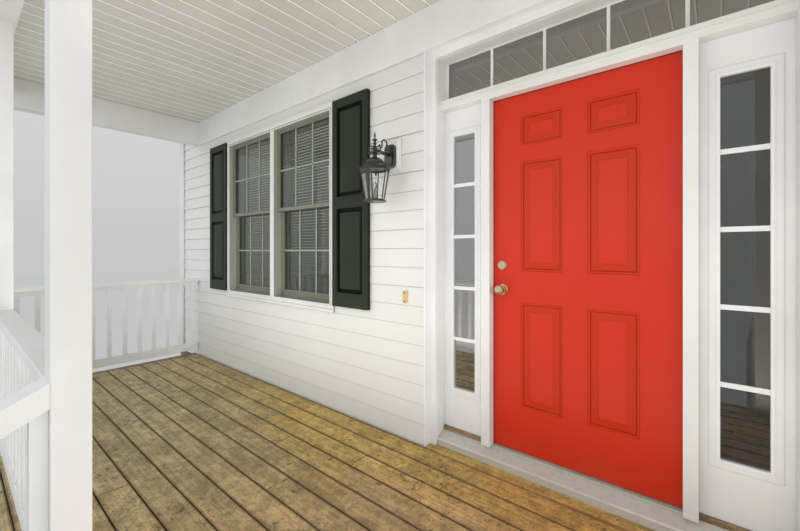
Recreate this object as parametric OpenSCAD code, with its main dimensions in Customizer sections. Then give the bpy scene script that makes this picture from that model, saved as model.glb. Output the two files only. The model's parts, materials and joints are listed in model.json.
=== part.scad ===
// Entrance porch of a timber house: a raised deck with steps and railings, square posts,
// a low lean-to roof, and the stretch of front wall behind it with a six-panel door,
// its transom and sidelights, and a twin window with shutters on either side.
// X runs along the wall, Y goes into the house and Z is up. The wall face is at Y 0,
// the door is centred on X 0 and the ground is at Z 0. All sizes are in millimetres.

/* [Deck] */
// Height of the deck's top above the ground
deck_h = 711; // [600:1:820]
// Distance from the wall face to the front edge of the deck boards
deck_out = 1785; // [1650:1:2200]
// Half the length of the deck along the wall
deck_half = 4270; // [4265:1:4380]
// Thickness of the deck boards
board_t = 28; // [22:1:38]
// Depth of the rim boards and joists under the deck boards
rim_h = 184; // [140:1:235]
// Thickness of each rim board and joist
rim_t = 38; // [30:1:50]
// How far the deck boards stand out past the rim boards
nosing = 25; // [15:1:40]
// Spacing of the joists
joist_pitch = 406; // [300:1:610]

/* [Brickwork] */
// How far the house's brick base stands out past the wall face above it
plinth = 10; // [6:1:16]
// Thickness of the brick skirt below the deck
skirt_t = 92; // [80:1:110]
// How far the skirt's face stands behind the rim's face
skirt_back = 8; // [4:1:20]
// Depth of each tread of the steps
tread = 356; // [300:1:380]
// Number of risers from the ground to the deck
risers = 4; // [4:1:4]
// Half the width of the steps
steps_half = 980; // [920:1:1080]

/* [Posts and beams] */
// Width of the square posts
post_w = 89; // [76:1:120]
// Distance from the wall face to the posts' middle line
post_out = 1704; // [1600:1:1704]
// Distance from the door's middle to the entry posts' middle
entry_x = 834.5; // [800:0.5:870]
// Distance from the door's middle to the intermediate posts' middle
mid_x = 2772; // [2600:1:2950]
// How far the corner posts' middle stands in from the ends of the deck
corner_inset = 80; // [70:1:130]
// Width of the boxed beams
beam_w = 120; // [120:1:140]
// Height of the front beam's underside above the deck
front_beam_z = 2620; // [2560:1:2700]
// Height of the end beams' underside above the deck
end_beam_z = 2487; // [2440:1:2600]
// Height of the ceiling above the deck
ceiling_z = 2740; // [2730:1:2800]
// Thickness of the ceiling boards
ceiling_t = 15; // [9:1:25]

/* [Railings] */
// Height of the front railing above the deck
front_rail_h = 870; // [820:1:950]
// Height of the end railings above the deck
end_rail_h = 900; // [860:1:970]
// Thickness of the flat rail caps
cap_t = 38; // [30:1:45]
// Width of the balusters and of the rails' narrow members
baluster_w = 38; // [30:1:44]
// Spacing of the balusters
baluster_pitch = 133; // [110:1:150]
// Depth of the narrow member under each rail cap
sub_rail_h = 38; // [30:1:60]
// Depth of the bottom rails
bottom_rail_h = 89; // [70:1:100]
// Gap between the deck and the bottom rails
bottom_gap = 60; // [50:1:80]
// Depth of the sloping hand rails, measured upright
hand_rail_h = 70; // [60:1:90]
// Height of the newels above the tread that they stand on
newel_h = 960; // [930:1:1100]

/* [House wall] */
// How far the wall runs on past each end of the deck
wall_beyond = 402; // [370:1:530]
// Thickness of the wall with its cladding
wall_t = 210; // [210:1:240]
// Height of the wall above the roof's upper edge
wall_over = 110; // [60:1:200]
// Width of the corner boards
corner_board_w = 95; // [70:1:120]
// Thickness of boards that are planted on the wall face
trim_t = 18; // [12:1:20]
// Height of the frieze board's lower edge above the deck
frieze_z = 2475; // [2455:1:2490]

/* [Roof] */
// Slope of the roof in degrees
roof_angle = 18.435; // [14:0.5:22]
// Height of the roof's underside at the front beam's outer face, above the deck
roof_z = 2830; // [2800:1:2860]
// Depth of the roof deck, measured upright
roof_t = 120; // [90:1:140]
// Overhang of the roof in front of the beam
eave = 300; // [220:1:380]
// Overhang of the roof past the end beams
rake = 170; // [120:1:200]
// Thickness of the fascia and barge boards
fascia_t = 19; // [15:1:25]
// Depth of the fascia board
fascia_h = 184; // [160:1:220]

/* [Windows] */
// How far each twin window stands out from midway between the door's opening and the corner post
window_shift = 35; // [0:1:60]
// Width of a twin window over its outer trim
window_w = 1713; // [1690:1:1730]
// Height of the window sill's lower edge above the deck
window_z = 755; // [720:1:800]
// Height of the window sill
window_sill_h = 48; // [42:1:60]
// Height of the window trim's upper edge above the deck
window_top = 2385; // [2350:1:2395]
// Width of the window's side trim
window_trim_w = 34; // [28:1:45]
// Height of the window's head trim
window_head_h = 48; // [40:1:60]
// Width of the post between the two units of a twin window
window_mullion = 60; // [50:1:90]
// Width of the upper sashes' stiles
upper_stile = 36; // [30:1:44]
// Width of the lower sashes' stiles
lower_stile = 46; // [38:1:54]
// Height of the upper sashes' top rail
top_rail_h = 30; // [26:1:38]
// Height of the rails where the two sashes meet
meeting_h = 31; // [26:1:38]
// Height of the lower sashes' bottom rail
low_rail_h = 63; // [50:1:75]
// How far the meeting rails stand above the window's middle
meeting_up = 32; // [0:1:50]
// Thickness of each sash
sash_t = 38; // [30:1:40]
// Thickness of the panes
pane_t = 6; // [4:1:8]

/* [Shutters] */
// Width of a shutter
shutter_w = 375; // [340:1:380]
// Height of the shutters' lower edge above the deck
shutter_z = 810; // [780:1:840]
// Height of the shutters' upper edge above the deck
shutter_top = 2372; // [2330:1:2400]
// Thickness of a shutter
shutter_t = 32; // [28:1:36]
// Width of the shutter stiles
shutter_stile = 50; // [42:1:60]

/* [Door set] */
// Half the clear width between the side jambs
jamb_half = 798; // [796:1:804]
// Width of the door leaf
leaf_w = 914; // [900:1:920]
// Height of the door leaf
leaf_h = 2032; // [2010:1:2036]
// Thickness of the door leaf
leaf_t = 44.5; // [40:0.5:46]
// Height of the leaf's lower edge above the deck
leaf_z = 89; // [88:1:92]
// Depth from the wall face to the leaf's outer face
leaf_y = 165; // [160:1:165]
// Clearance between the leaf and the frame round it
leaf_gap = 7; // [7:0.5:8]
// Depth from the wall face to the casing's face
casing_y = 55; // [40:1:60]
// Width of the casing
casing_w = 39; // [32:1:45]
// Thickness of the casing
casing_t = 32; // [26:1:36]
// Thickness of the return board that lines the wall opening
return_t = 13; // [10:1:16]
// Depth from the wall face to the mullions' face
mullion_y = 105; // [100:1:115]
// Width of the mullions beside the door
mullion_w = 43; // [38:1:48]
// Width of glass in a sidelight
side_glass_w = 152; // [140:1:160]
// Height of the sidelight glass's lower edge above the deck
side_glass_z = 353; // [330:1:370]
// Height of the sidelight glass's upper edge above the deck
side_glass_top = 1960; // [1930:1:1980]
// Height of the transom glass's lower edge above the deck
transom_glass_z = 2216; // [2205:1:2225]
// Height of the transom glass's upper edge above the deck
transom_glass_top = 2437; // [2430:1:2440]
// Number of panes in the transom and in each sidelight
lites = 5; // [4:1:6]
// Width of the bars between a sidelight's panes
bar_w = 22; // [16:1:26]
// Width of the bars between the transom's panes
transom_bar_w = 16; // [12:1:22]
// Radius of the hinge knuckles
knuckle_r = 7; // [6:0.5:8]
// Distance of the knob and the deadbolt from the leaf's edge
backset = 60; // [58:1:70]
// Height of the knob above the leaf's lower edge
knob_z = 914; // [880:1:960]
// Height of the deadbolt above the leaf's lower edge
bolt_z = 1057; // [1040:1:1090]

/* [Lantern] */
// How far each lantern stands out from midway between the door's opening and the shutter
lantern_shift = 20; // [0:1:40]
// Height of the middle of the lantern's base block above the deck
lantern_z = 1865; // [1820:1:1900]
// Distance from the wall face to the lantern's middle
lantern_out = 176; // [165:1:200]
// Width of the lantern's round brim
brim_d = 206; // [204:1:220]
// Height of the lantern's glazed body
body_h = 200; // [180:1:215]

/* [Hidden] */
$fn = 48;

// A small amount by which cutters run past the faces that they cut
over = 1;

// Heights above the ground
riser = deck_h / risers;
rim_z = deck_h - board_t;
skirt_z = rim_z - rim_h;
ceiling_h = deck_h + ceiling_z;
front_beam_h = deck_h + front_beam_z;
end_beam_h = deck_h + end_beam_z;
frieze_h = deck_h + frieze_z;

// Places along X, on either side of the door's middle
corner_x = deck_half - corner_inset;
wall_half = deck_half + wall_beyond;
open_half = jamb_half + casing_w + return_t;
window_x = (open_half + corner_x) / 2 + window_shift;
shutter_gap = 4;
shutter_x = window_w / 2 + shutter_gap + shutter_w / 2;
lantern_x = (open_half + window_x - shutter_x - shutter_w / 2) / 2 + lantern_shift;

// Places along Y, with the front of the porch at negative values
deck_front = -deck_out;
rim_front = deck_front + nosing;
skirt_front = rim_front + skirt_back;
rim_end = deck_half - nosing;
skirt_end = rim_end - skirt_back;
post_y = -post_out;
beam_front = post_y - beam_w / 2;
beam_back = post_y + beam_w / 2;
beam_end = corner_x + beam_w / 2;
beam_inner = corner_x - beam_w / 2;

// The roof's underside rises from the front beam to the wall
function roof_under(y) = deck_h + roof_z + (y - beam_front) * tan(roof_angle);
seat_gap = 0.3;
function under_roof(y) = roof_under(y) - seat_gap;
eave_front = beam_front - eave;
rake_end = beam_end + rake;
wall_top = roof_under(0) + roof_t + wall_over;

// The opening in the wall for the door set
transom_edge = 8;
transom_top = deck_h + transom_glass_top + transom_edge;
head_t = casing_w;
open_top = transom_top + head_t + return_t;
sill_reach = 20;
sill_front = casing_y + sill_reach;
casing_back = casing_y + casing_t;
frame_half = leaf_w / 2 + leaf_gap;
mullion_out = frame_half + mullion_w;
leaf_bottom = deck_h + leaf_z;
leaf_top = leaf_bottom + leaf_h;
leaf_back = leaf_y + leaf_t;
bar_bottom = leaf_top + leaf_gap;
transom_rail = 30;
bar_top = deck_h + transom_glass_z - transom_rail;
stop_w = 11;
stop_gap = 5;
sill_top = leaf_bottom - leaf_gap;
hinge_x = leaf_w / 2 + leaf_gap / 2;
hinge_y = leaf_back + knuckle_r;

// Window places: the opening inside the trim
win_open_w = window_w - 2 * window_trim_w;
win_bottom = deck_h + window_z + window_sill_h;
win_top = deck_h + window_top - window_head_h;
unit_w = (win_open_w - window_mullion) / 2;
win_mid = (win_bottom + win_top) / 2 + meeting_up;
win_in = window_x - win_open_w / 2;
win_out = window_x + win_open_w / 2;

// Finishes
white = [0.93, 0.93, 0.92];
timber = [0.62, 0.50, 0.32];
brick = [0.45, 0.30, 0.26];
red = [0.75, 0.13, 0.08];
dark_green = [0.07, 0.09, 0.09];
black = [0.05, 0.05, 0.06];
brass = [0.80, 0.70, 0.45];
glass = [0.55, 0.65, 0.65, 0.5];
shingle = [0.30, 0.30, 0.31];

// A box between two corners
module slab(x0, x1, y0, y1, z0, z1) {
    translate([x0, y0, z0]) cube([x1 - x0, y1 - y0, z1 - z0]);
}

// A shape and its mirror image on the other side of the door
module both_sides() {
    children();
    mirror([1, 0, 0]) children();
}

// An outline in Y and Z drawn out along X
module along_x(x0, x1, points) {
    translate([x0, 0, 0]) rotate([90, 0, 90]) linear_extrude(x1 - x0) polygon(points);
}

// A shallow block with four bevelled sides, rising from Y 0 towards negative Y
module bevel_block(w, h, d, bevel) {
    intersection() {
        translate([0, 0, -h / 2]) linear_extrude(h)
            polygon([[-w / 2, 0], [-w / 2 + bevel, -d], [w / 2 - bevel, -d], [w / 2, 0]]);
        along_x(-w / 2, w / 2, [[0, -h / 2], [-d, -h / 2 + bevel], [-d, h / 2 - bevel], [0, h / 2]]);
    }
}

// Brickwork and deck

module house_foundation() {
    color(brick) slab(-wall_half, wall_half, -plinth, wall_t, 0, rim_z);
}

module brick_skirt() {
    color(brick) difference() {
        slab(-skirt_end, skirt_end, skirt_front, -plinth, 0, skirt_z);
        slab(-skirt_end + skirt_t, skirt_end - skirt_t, skirt_front + skirt_t, over, -over, skirt_z + over);
    }
}

module front_steps() {
    color(brick) for (i = [1 : risers - 1])
        slab(-steps_half, steps_half, deck_front - i * tread,
             i == 1 ? rim_front : deck_front - (i - 1) * tread, 0, deck_h - i * riser);
}

module deck_frame() {
    first = rim_front + rim_t;
    last = -plinth - rim_t;
    color(white) {
        slab(-rim_end, rim_end, rim_front, first, skirt_z, rim_z);
        slab(-rim_end, rim_end, last, -plinth, skirt_z, rim_z);
        both_sides() slab(rim_end - rim_t, rim_end, first, last, skirt_z, rim_z);
        both_sides() for (x = [joist_pitch / 2 : joist_pitch : rim_end - 3 * rim_t])
            slab(x, x + rim_t, first, last, skirt_z, rim_z);
    }
}

module deck_floor() {
    color(timber) {
        slab(-deck_half, deck_half, deck_front, 0, rim_z, deck_h);
        slab(-open_half, open_half, 0, sill_front, rim_z, deck_h);
    }
}

// Posts and railings

module post(x) {
    slab(x - post_w / 2, x + post_w / 2, post_y - post_w / 2, post_y + post_w / 2, deck_h, front_beam_h);
}

module porch_posts() {
    color(white) both_sides() for (x = [entry_x, mid_x, corner_x]) post(x);
}

// A level railing along X from 0 to its length, centred on Y 0, with its deck at Z 0. Its
// balusters stand nearer the first end than even spacing would put them, by the lead
module rail_panel(length, height, lead) {
    bottom_top = bottom_gap + bottom_rail_h;
    sub_z = height - cap_t - sub_rail_h;
    count = floor(length / baluster_pitch);
    first = (length - (count - 1) * baluster_pitch) / 2 - lead;
    slab(0, length, -post_w / 2, post_w / 2, height - cap_t, height);
    slab(0, length, -baluster_w / 2, baluster_w / 2, sub_z, height - cap_t);
    slab(0, length, -baluster_w / 2, baluster_w / 2, bottom_gap, bottom_top);
    for (i = [0 : count - 1])
        slab(first + i * baluster_pitch - baluster_w / 2, first + i * baluster_pitch + baluster_w / 2,
             -baluster_w / 2, baluster_w / 2, bottom_top, sub_z);
}

// The two panels of the front railing on one side, between the posts
module front_rail() {
    for (ends = [[entry_x, mid_x], [mid_x, corner_x]])
        translate([ends[0] + post_w / 2, post_y, deck_h])
            rail_panel(ends[1] - ends[0] - post_w, front_rail_h, 0);
}

module front_rail_left() { color(white) mirror([1, 0, 0]) front_rail(); }
module front_rail_right() { color(white) front_rail(); }

module end_rail() {
    translate([corner_x, 0, deck_h]) rotate([0, 0, -90])
        rail_panel(post_out - post_w / 2, end_rail_h, 36);
}

module end_rail_left() { color(white) mirror([1, 0, 0]) end_rail(); }
module end_rail_right() { color(white) end_rail(); }

// The stair railing starts at the entry post's outer face and falls at the slope of the steps.
// Its members run a little way into each other, and into the newel at the foot
module stair_rail() {
    slope = riser / tread;
    let_in = 12;
    start = post_y - post_w / 2;
    set_back = 15;
    newel_front = deck_front - (risers - 1) * tread + set_back;
    newel_back = newel_front + post_w;
    rail_end = newel_back - let_in;
    foot = deck_h - (risers - 1) * riser;
    low_top = deck_h + bottom_gap + bottom_rail_h;
    high_top = deck_h + front_rail_h + 10;
    high_low = high_top - hand_rail_h;
    function fall(y) = (y - start) * slope;
    module sloped(half, y0, y1, z0, z1) {
        along_x(entry_x - half, entry_x + half,
            [[y0, z1 + fall(y0)], [y1, z1 + fall(y1)], [y1, z0 + fall(y1)], [y0, z0 + fall(y0)]]);
    }
    slab(entry_x - post_w / 2, entry_x + post_w / 2, newel_front, newel_back, foot, foot + newel_h);
    sloped(post_w / 2, rail_end, start, high_low, high_top);
    sloped(baluster_w / 2, rail_end, start, low_top - bottom_rail_h, low_top);
    for (y = [start - baluster_w : -baluster_pitch : newel_back + baluster_w])
        sloped(baluster_w / 2, y, y + baluster_w, low_top - let_in, high_low + let_in);
}

module stair_rail_left() { color(white) mirror([1, 0, 0]) stair_rail(); }
module stair_rail_right() { color(white) stair_rail(); }

// Beams, ceiling and roof

module front_beam() {
    color(white) along_x(-beam_end, beam_end,
        [[beam_front, front_beam_h], [beam_back, front_beam_h],
         [beam_back, under_roof(beam_back)], [beam_front, under_roof(beam_front)]]);
}

module end_beams() {
    post_back = post_y + post_w / 2;
    color(white) both_sides() along_x(beam_inner, beam_end,
        [[post_back, end_beam_h], [0, end_beam_h], [0, ceiling_h], [beam_back, ceiling_h],
         [beam_back, front_beam_h], [post_back, front_beam_h]]);
}

module porch_ceiling() {
    color(white) slab(-beam_inner, beam_inner, beam_back, 0, ceiling_h, ceiling_h + ceiling_t);
}

module frieze_board() {
    color(white) slab(-beam_inner, beam_inner, -trim_t, 0, frieze_h, ceiling_h);
}

module gable_ends() {
    color(white) both_sides() along_x(beam_inner, beam_end,
        [[beam_back, ceiling_h], [0, ceiling_h], [0, under_roof(0)], [beam_back, under_roof(beam_back)]]);
}

module roof_deck() {
    color(shingle) along_x(-rake_end, rake_end,
        [[eave_front, roof_under(eave_front)], [0, roof_under(0)],
         [0, roof_under(0) + roof_t], [eave_front, roof_under(eave_front) + roof_t]]);
}

// Fascia board along the eave with the flat soffit behind it
module eave_trim() {
    soffit_up = 20;
    soffit_t = 12;
    top = roof_under(eave_front) + roof_t;
    soffit_z = top - fascia_h + soffit_up;
    color(white) {
        slab(-rake_end, rake_end, eave_front - fascia_t, eave_front, top - fascia_h, top);
        slab(-rake_end, rake_end, eave_front, beam_front, soffit_z, soffit_z + soffit_t);
    }
}

// House wall, in slabs round the door set and the windows

module wall_beside_door() {
    slab(open_half, win_in, 0, wall_t, rim_z, wall_top);
}

module wall_left_of_door() { color(white) mirror([1, 0, 0]) wall_beside_door(); }
module wall_right_of_door() { color(white) wall_beside_door(); }

module wall_over_door() {
    color(white) slab(-open_half, open_half, 0, wall_t, open_top, wall_top);
}

module wall_outer() {
    slab(win_out, wall_half, 0, wall_t, rim_z, wall_top);
}

module wall_outer_left() { color(white) mirror([1, 0, 0]) wall_outer(); }
module wall_outer_right() { color(white) wall_outer(); }

module walls_below_windows() {
    color(white) both_sides() slab(win_in, win_out, 0, wall_t, rim_z, win_bottom);
}

module walls_above_windows() {
    color(white) both_sides() slab(win_in, win_out, 0, wall_t, win_top, wall_top);
}

// Each corner board wraps the corner and covers the wall's end
module corner_boards() {
    color(white) both_sides() {
        slab(wall_half - corner_board_w, wall_half, -trim_t, 0, rim_z, wall_top);
        slab(wall_half, wall_half + trim_t, -trim_t, wall_t, rim_z, wall_top);
    }
}

// Windows and shutters

// Trim on the wall face, set off by a groove from a lining with the post between the two units.
// The sill has two lips with a groove between them
module window_frame() {
    lining = 12;
    groove = 6;
    groove_y = -trim_t / 3;
    lip = -trim_t - 12;
    lip_h = window_sill_h * 0.45;
    foot = deck_h + window_z;
    trim_out = window_w / 2;
    trim_in = win_open_w / 2 + groove;
    translate([window_x, 0, 0]) {
        for (side = [-trim_out, trim_in])
            slab(side, side + trim_out - trim_in, -trim_t, 0, win_bottom, win_top + window_head_h);
        slab(-trim_in, trim_in, -trim_t, 0, win_top + groove, win_top + window_head_h);
        along_x(-trim_out, trim_out,
            [[0, foot], [lip, foot], [lip, foot + lip_h], [-trim_t, foot + lip_h],
             [-trim_t, foot + lip_h + groove], [lip + groove, foot + lip_h + groove],
             [lip + groove, win_bottom], [0, win_bottom]]);
    }
    difference() {
        union() {
            slab(win_in - groove, win_out + groove, groove_y, 0, win_bottom, win_top + groove);
            slab(win_in, win_out, -trim_t, wall_t, win_bottom, win_top);
        }
        for (x = [win_in + lining, window_x + window_mullion / 2])
            slab(x, x + unit_w - lining, -trim_t - over, wall_t + over, win_bottom + lining,
                 win_top - lining);
    }
}

module window_frames() { color(white) both_sides() window_frame(); }

// One sash or its pane, from its left edge, between two heights, with the width of its stiles
// and the heights of its lower and upper rails
sash_clear = 12;
sash_y = 20;
sash_gap = 1;
module sash(x, y, z0, z1, stile, low, high, part) {
    w = unit_w - sash_clear;
    mid = y + sash_t / 2;
    if (part == "frame") difference() {
        slab(x, x + w, y, y + sash_t, z0, z1);
        slab(x + stile, x + w - stile, y - over, y + sash_t + over, z0 + low, z1 - high);
    }
    if (part == "pane")
        slab(x + stile, x + w - stile, mid - pane_t / 2, mid + pane_t / 2, z0 + low, z1 - high);
}

// The upper sash stands in front of the lower one, and their meeting rails share one height
module all_sashes(part) {
    both_sides() for (x = [win_in + sash_clear, window_x + window_mullion / 2]) {
        sash(x, sash_y, win_mid - meeting_h / 2, win_top - sash_clear, upper_stile, meeting_h,
             top_rail_h, part);
        sash(x, sash_y + sash_t + sash_gap, win_bottom + sash_clear, win_mid + meeting_h / 2,
             lower_stile, low_rail_h, meeting_h, part);
    }
}

module window_sashes() { color([0.45, 0.48, 0.46]) all_sashes("frame"); }
module window_glass() { color(glass) all_sashes("pane"); }

// A panelled shutter on the wall face, its middle at X 0 and its lower edge at Z 0
module shutter() {
    h = shutter_top - shutter_z;
    field_w = shutter_w - 2 * shutter_stile;
    low_rail = 105;
    mid_low = 735;
    mid_high = 826;
    top_rail = 65;
    fields = [[low_rail, mid_low], [mid_high, h - top_rail]];
    sunk = 22;
    groove = 18;
    raised = 17;
    difference() {
        slab(-shutter_w / 2, shutter_w / 2, -shutter_t, 0, 0, h);
        for (f = fields) translate([0, -shutter_t - over, (f[0] + f[1]) / 2])
            mirror([0, 1, 0]) bevel_block(field_w, f[1] - f[0], sunk + over, 4);
    }
    for (f = fields) translate([0, -shutter_t + sunk, (f[0] + f[1]) / 2])
        bevel_block(field_w - 2 * groove, f[1] - f[0] - 2 * groove, raised, 16);
}

module shutters() {
    color(dark_green) both_sides() for (x = [window_x - shutter_x, window_x + shutter_x])
        translate([x, 0, deck_h + shutter_z]) shutter();
}

// Door set

// A frame of two uprights and a head round the door opening
module portal(inner, outer, y0, y1, z0, head0, head1) {
    slab(-outer, -inner, y0, y1, z0, head1);
    slab(inner, outer, y0, y1, z0, head1);
    slab(-inner, inner, y0, y1, head0, head1);
}

module door_casing() {
    color(white) {
        portal(jamb_half, jamb_half + casing_w, casing_y, casing_back, deck_h, transom_top,
               transom_top + head_t);
        portal(jamb_half + casing_w, open_half, 0, casing_back, deck_h, transom_top + head_t, open_top);
    }
}

module door_frame() {
    bead = 4;
    bar_mid = (bar_bottom + bar_top) / 2;
    color(white) {
        portal(jamb_half, open_half, casing_back, wall_t, rim_z, transom_top, open_top);
        both_sides() {
            slab(frame_half, mullion_out, mullion_y, wall_t, sill_top, bar_bottom);
            slab(frame_half - stop_w, frame_half, mullion_y, leaf_y - stop_gap, sill_top, bar_bottom);
        }
        slab(-jamb_half, jamb_half, mullion_y, wall_t, bar_bottom, bar_top);
        slab(-jamb_half, jamb_half, mullion_y - bead, mullion_y, bar_mid - bead, bar_mid + bead);
        slab(-frame_half + stop_w, frame_half - stop_w, mullion_y, leaf_y - stop_gap,
             bar_bottom - stop_w, bar_bottom);
    }
}

// The sill slopes from the foot of the threshold to a rounded front edge
module door_sill() {
    step_y = leaf_y - 12;
    step_h = 10;
    edge = 8;
    edge_z = deck_h + 36;
    color([0.6, 0.6, 0.58]) along_x(-jamb_half, jamb_half,
        [[sill_front, rim_z], [wall_t, rim_z], [wall_t, sill_top], [step_y, sill_top],
         [step_y, sill_top - step_h], [sill_front + edge, edge_z + edge], [sill_front, edge_z]]);
}

// A sash or its panes between two corners, divided into equal panes that stand a little way
// behind the bars' front
module barred(x0, x1, y0, y1, z0, z1, across, part, bar, edge) {
    size = across ? x1 - x0 : z1 - z0;
    pane = (size - (lites - 1) * bar) / lites;
    pane_y = y0 + 8;
    if (part == "frame") difference() {
        slab(x0 - edge[0], x1 + edge[0], y0, y1, z0 - edge[1], z1 + edge[2]);
        for (i = [0 : lites - 1]) {
            low = i * (pane + bar);
            if (across) slab(x0 + low, x0 + low + pane, y0 - over, y1 + over, z0, z1);
            else slab(x0, x1, y0 - over, y1 + over, z0 + low, z0 + low + pane);
        }
    }
    if (part == "pane") for (i = [0 : lites - 1]) {
        low = i * (pane + bar);
        if (across) slab(x0 + low, x0 + low + pane, pane_y, pane_y + pane_t, z0, z1);
        else slab(x0, x1, pane_y, pane_y + pane_t, z0 + low, z0 + low + pane);
    }
}

module transom(part) {
    side = 28;
    sash_depth = 40;
    barred(-jamb_half + side, jamb_half - side, leaf_y, leaf_y + sash_depth,
           deck_h + transom_glass_z, deck_h + transom_glass_top, true, part, transom_bar_w,
           [side, transom_rail, transom_edge]);
}

module transom_sash() { color(white) transom("frame"); }
module transom_glass() { color(glass) transom("pane"); }

// A sidelight is a narrow white leaf with a stepped moulding round its glass. A step is its
// reach past the glass, its height and its bevel
module sidelight(part) {
    mid = (mullion_out + jamb_half) / 2;
    g0 = mid - side_glass_w / 2;
    g1 = mid + side_glass_w / 2;
    z0 = deck_h + side_glass_z;
    z1 = deck_h + side_glass_top;
    steps = [[42, 6, 5], [17, 9, 3]];
    barred(g0, g1, leaf_y, leaf_back, z0, z1, false, part, bar_w,
           [(jamb_half - mullion_out - side_glass_w) / 2, z0 - sill_top, bar_bottom - z1]);
    if (part == "frame") for (m = steps) difference() {
        translate([mid, leaf_y, (z0 + z1) / 2])
            bevel_block(side_glass_w + 2 * m[0], z1 - z0 + 2 * m[0], m[1], m[2]);
        slab(g0, g1, leaf_y - m[1] - over, leaf_y + over, z0, z1);
    }
}

module sidelight_panels() { color(white) both_sides() sidelight("frame"); }
module sidelight_glass() { color(glass) both_sides() sidelight("pane"); }

// The six panels. Going in from its edge, each has a step down to a flat bead, a deep groove,
// a broad slope that rises to the middle, and a small step up to a field just below the face.
// A stage is its distance in from the edge, its depth at the foot, its height and its bevel
panel_x0 = 59;
panel_x1 = 289;
panel_rows = [[250, 849], [1024, 1645], [1735, 1907]];
bead_in = 11;
bead_d = 3.5;
groove_d = 8.5;
slope_in = 20;
slope_d = 5.5;
field_in = 52;
field_d = 3;
field_top = 1;
panel_cuts = [[0, bead_d, 2.5], [bead_in, groove_d, 5]];
panel_rises = [[slope_in - 5, groove_d, groove_d - slope_d, 4],
               [slope_in, slope_d, slope_d - field_d, field_in - slope_in],
               [field_in, field_d, field_d - field_top, 2]];

// What is cut out of one panel's place, from the leaf's face inwards
module panel_cut(w, h) {
    for (c = panel_cuts) translate([0, -over, 0]) mirror([0, 1, 0])
        bevel_block(w - 2 * c[0], h - 2 * c[0], c[1] + over, c[2]);
}

// What then rises in it
module panel_field(w, h) {
    for (r = panel_rises) translate([0, r[1], 0])
        bevel_block(w - 2 * r[0], h - 2 * r[0], r[2], r[3]);
}

module leaf_face(part) {
    both_sides() for (row = panel_rows)
        translate([(panel_x0 + panel_x1) / 2, 0, (row[0] + row[1]) / 2]) {
            if (part == "cut") panel_cut(panel_x1 - panel_x0, row[1] - row[0]);
            else panel_field(panel_x1 - panel_x0, row[1] - row[0]);
        }
}

lock_x = -leaf_w / 2 + backset;
spindle_r = 8;
running_gap = 0.3;

module door_leaf() {
    color(red) {
        difference() {
            slab(-leaf_w / 2, leaf_w / 2, leaf_y, leaf_back, leaf_bottom, leaf_top);
            translate([0, leaf_y, leaf_bottom]) leaf_face("cut");
            translate([0, leaf_back, leaf_bottom]) mirror([0, 1, 0]) leaf_face("cut");
            translate([lock_x, leaf_y - over, leaf_bottom + knob_z]) rotate([-90, 0, 0])
                cylinder(h = leaf_t + 2 * over, r = spindle_r + running_gap);
        }
        translate([0, leaf_y, leaf_bottom]) leaf_face("field");
        translate([0, leaf_back, leaf_bottom]) mirror([0, 1, 0]) leaf_face("field");
    }
}

// Hinges: the leaf side has three knuckles and the frame side two, round one pin
knuckle_l = 20;
hinge_rows = [180, 1016, 1852];
hinge_plate = 2;
pin_r = 3;

module hinge_side(first, count, bore) {
    for (row = hinge_rows) translate([hinge_x, hinge_y, leaf_bottom + row])
        for (i = [0 : count - 1])
            translate([0, 0, (first + 2 * i - 2.5) * knuckle_l + running_gap])
                difference() {
                    cylinder(h = knuckle_l - 2 * running_gap, r = knuckle_r);
                    if (bore) translate([0, 0, -over])
                        cylinder(h = knuckle_l + over, r = pin_r + running_gap);
                }
}

// A flat plate along the edge that it is let on to, with a tab to each of its knuckles
module hinge_plates(x0, x1, first, count) {
    plate_set = 8;
    plate_end = hinge_y - knuckle_r - running_gap;
    for (row = hinge_rows) translate([0, 0, leaf_bottom + row - 2.5 * knuckle_l]) {
        slab(x0, x1, leaf_y + plate_set, plate_end, 0, 5 * knuckle_l);
        for (i = [0 : count - 1])
            slab(x0, x1, plate_end, hinge_y - pin_r - 2 * running_gap,
                 (first + 2 * i) * knuckle_l + running_gap, (first + 2 * i + 1) * knuckle_l - running_gap);
    }
}

module leaf_hinges() {
    color(brass) {
        hinge_side(0, 3, true);
        hinge_plates(leaf_w / 2, leaf_w / 2 + hinge_plate, 0, 3);
    }
}

module frame_hinges() {
    color(brass) {
        hinge_side(1, 2, false);
        hinge_plates(frame_half - hinge_plate, frame_half, 1, 2);
        for (row = hinge_rows) translate([hinge_x, hinge_y, leaf_bottom + row - 2.5 * knuckle_l])
            cylinder(h = 5 * knuckle_l, r = pin_r);
    }
}

// Something turned about an axis through the leaf, seen from the outer face
module on_leaf(z) {
    translate([lock_x, leaf_y, leaf_bottom + z]) rotate([90, 0, 0]) children();
}

// The same on the inner face
module on_leaf_back(z) {
    translate([lock_x, leaf_back, leaf_bottom + z]) rotate([-90, 0, 0]) children();
}

module rose() {
    rotate_extrude() polygon([[spindle_r + running_gap, 0], [33, 0], [33, 3], [28, 8],
                              [spindle_r + running_gap, 8]]);
}

module door_locks() {
    turn_t = 8;
    turn_h = 36;
    color(brass) {
        on_leaf(knob_z) rose();
        on_leaf_back(knob_z) rose();
        on_leaf(bolt_z) rotate_extrude() polygon([[0, 0], [30, 0], [30, 4], [24, 14], [0, 14]]);
        on_leaf_back(bolt_z) rotate_extrude() polygon([[0, 0], [30, 0], [30, 4], [24, 8], [0, 8]]);
        on_leaf_back(bolt_z) slab(-turn_t / 2, turn_t / 2, -turn_h / 2, turn_h / 2, 8, 26);
    }
}

// A turned knob on its neck
module knob() {
    rotate_extrude() polygon([[0, -over], [spindle_r, -over], [spindle_r, 9], [13, 12], [13, 24], [20, 32],
                              [27, 42], [28, 52], [24, 61], [12, 66], [0, 67]]);
}

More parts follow.
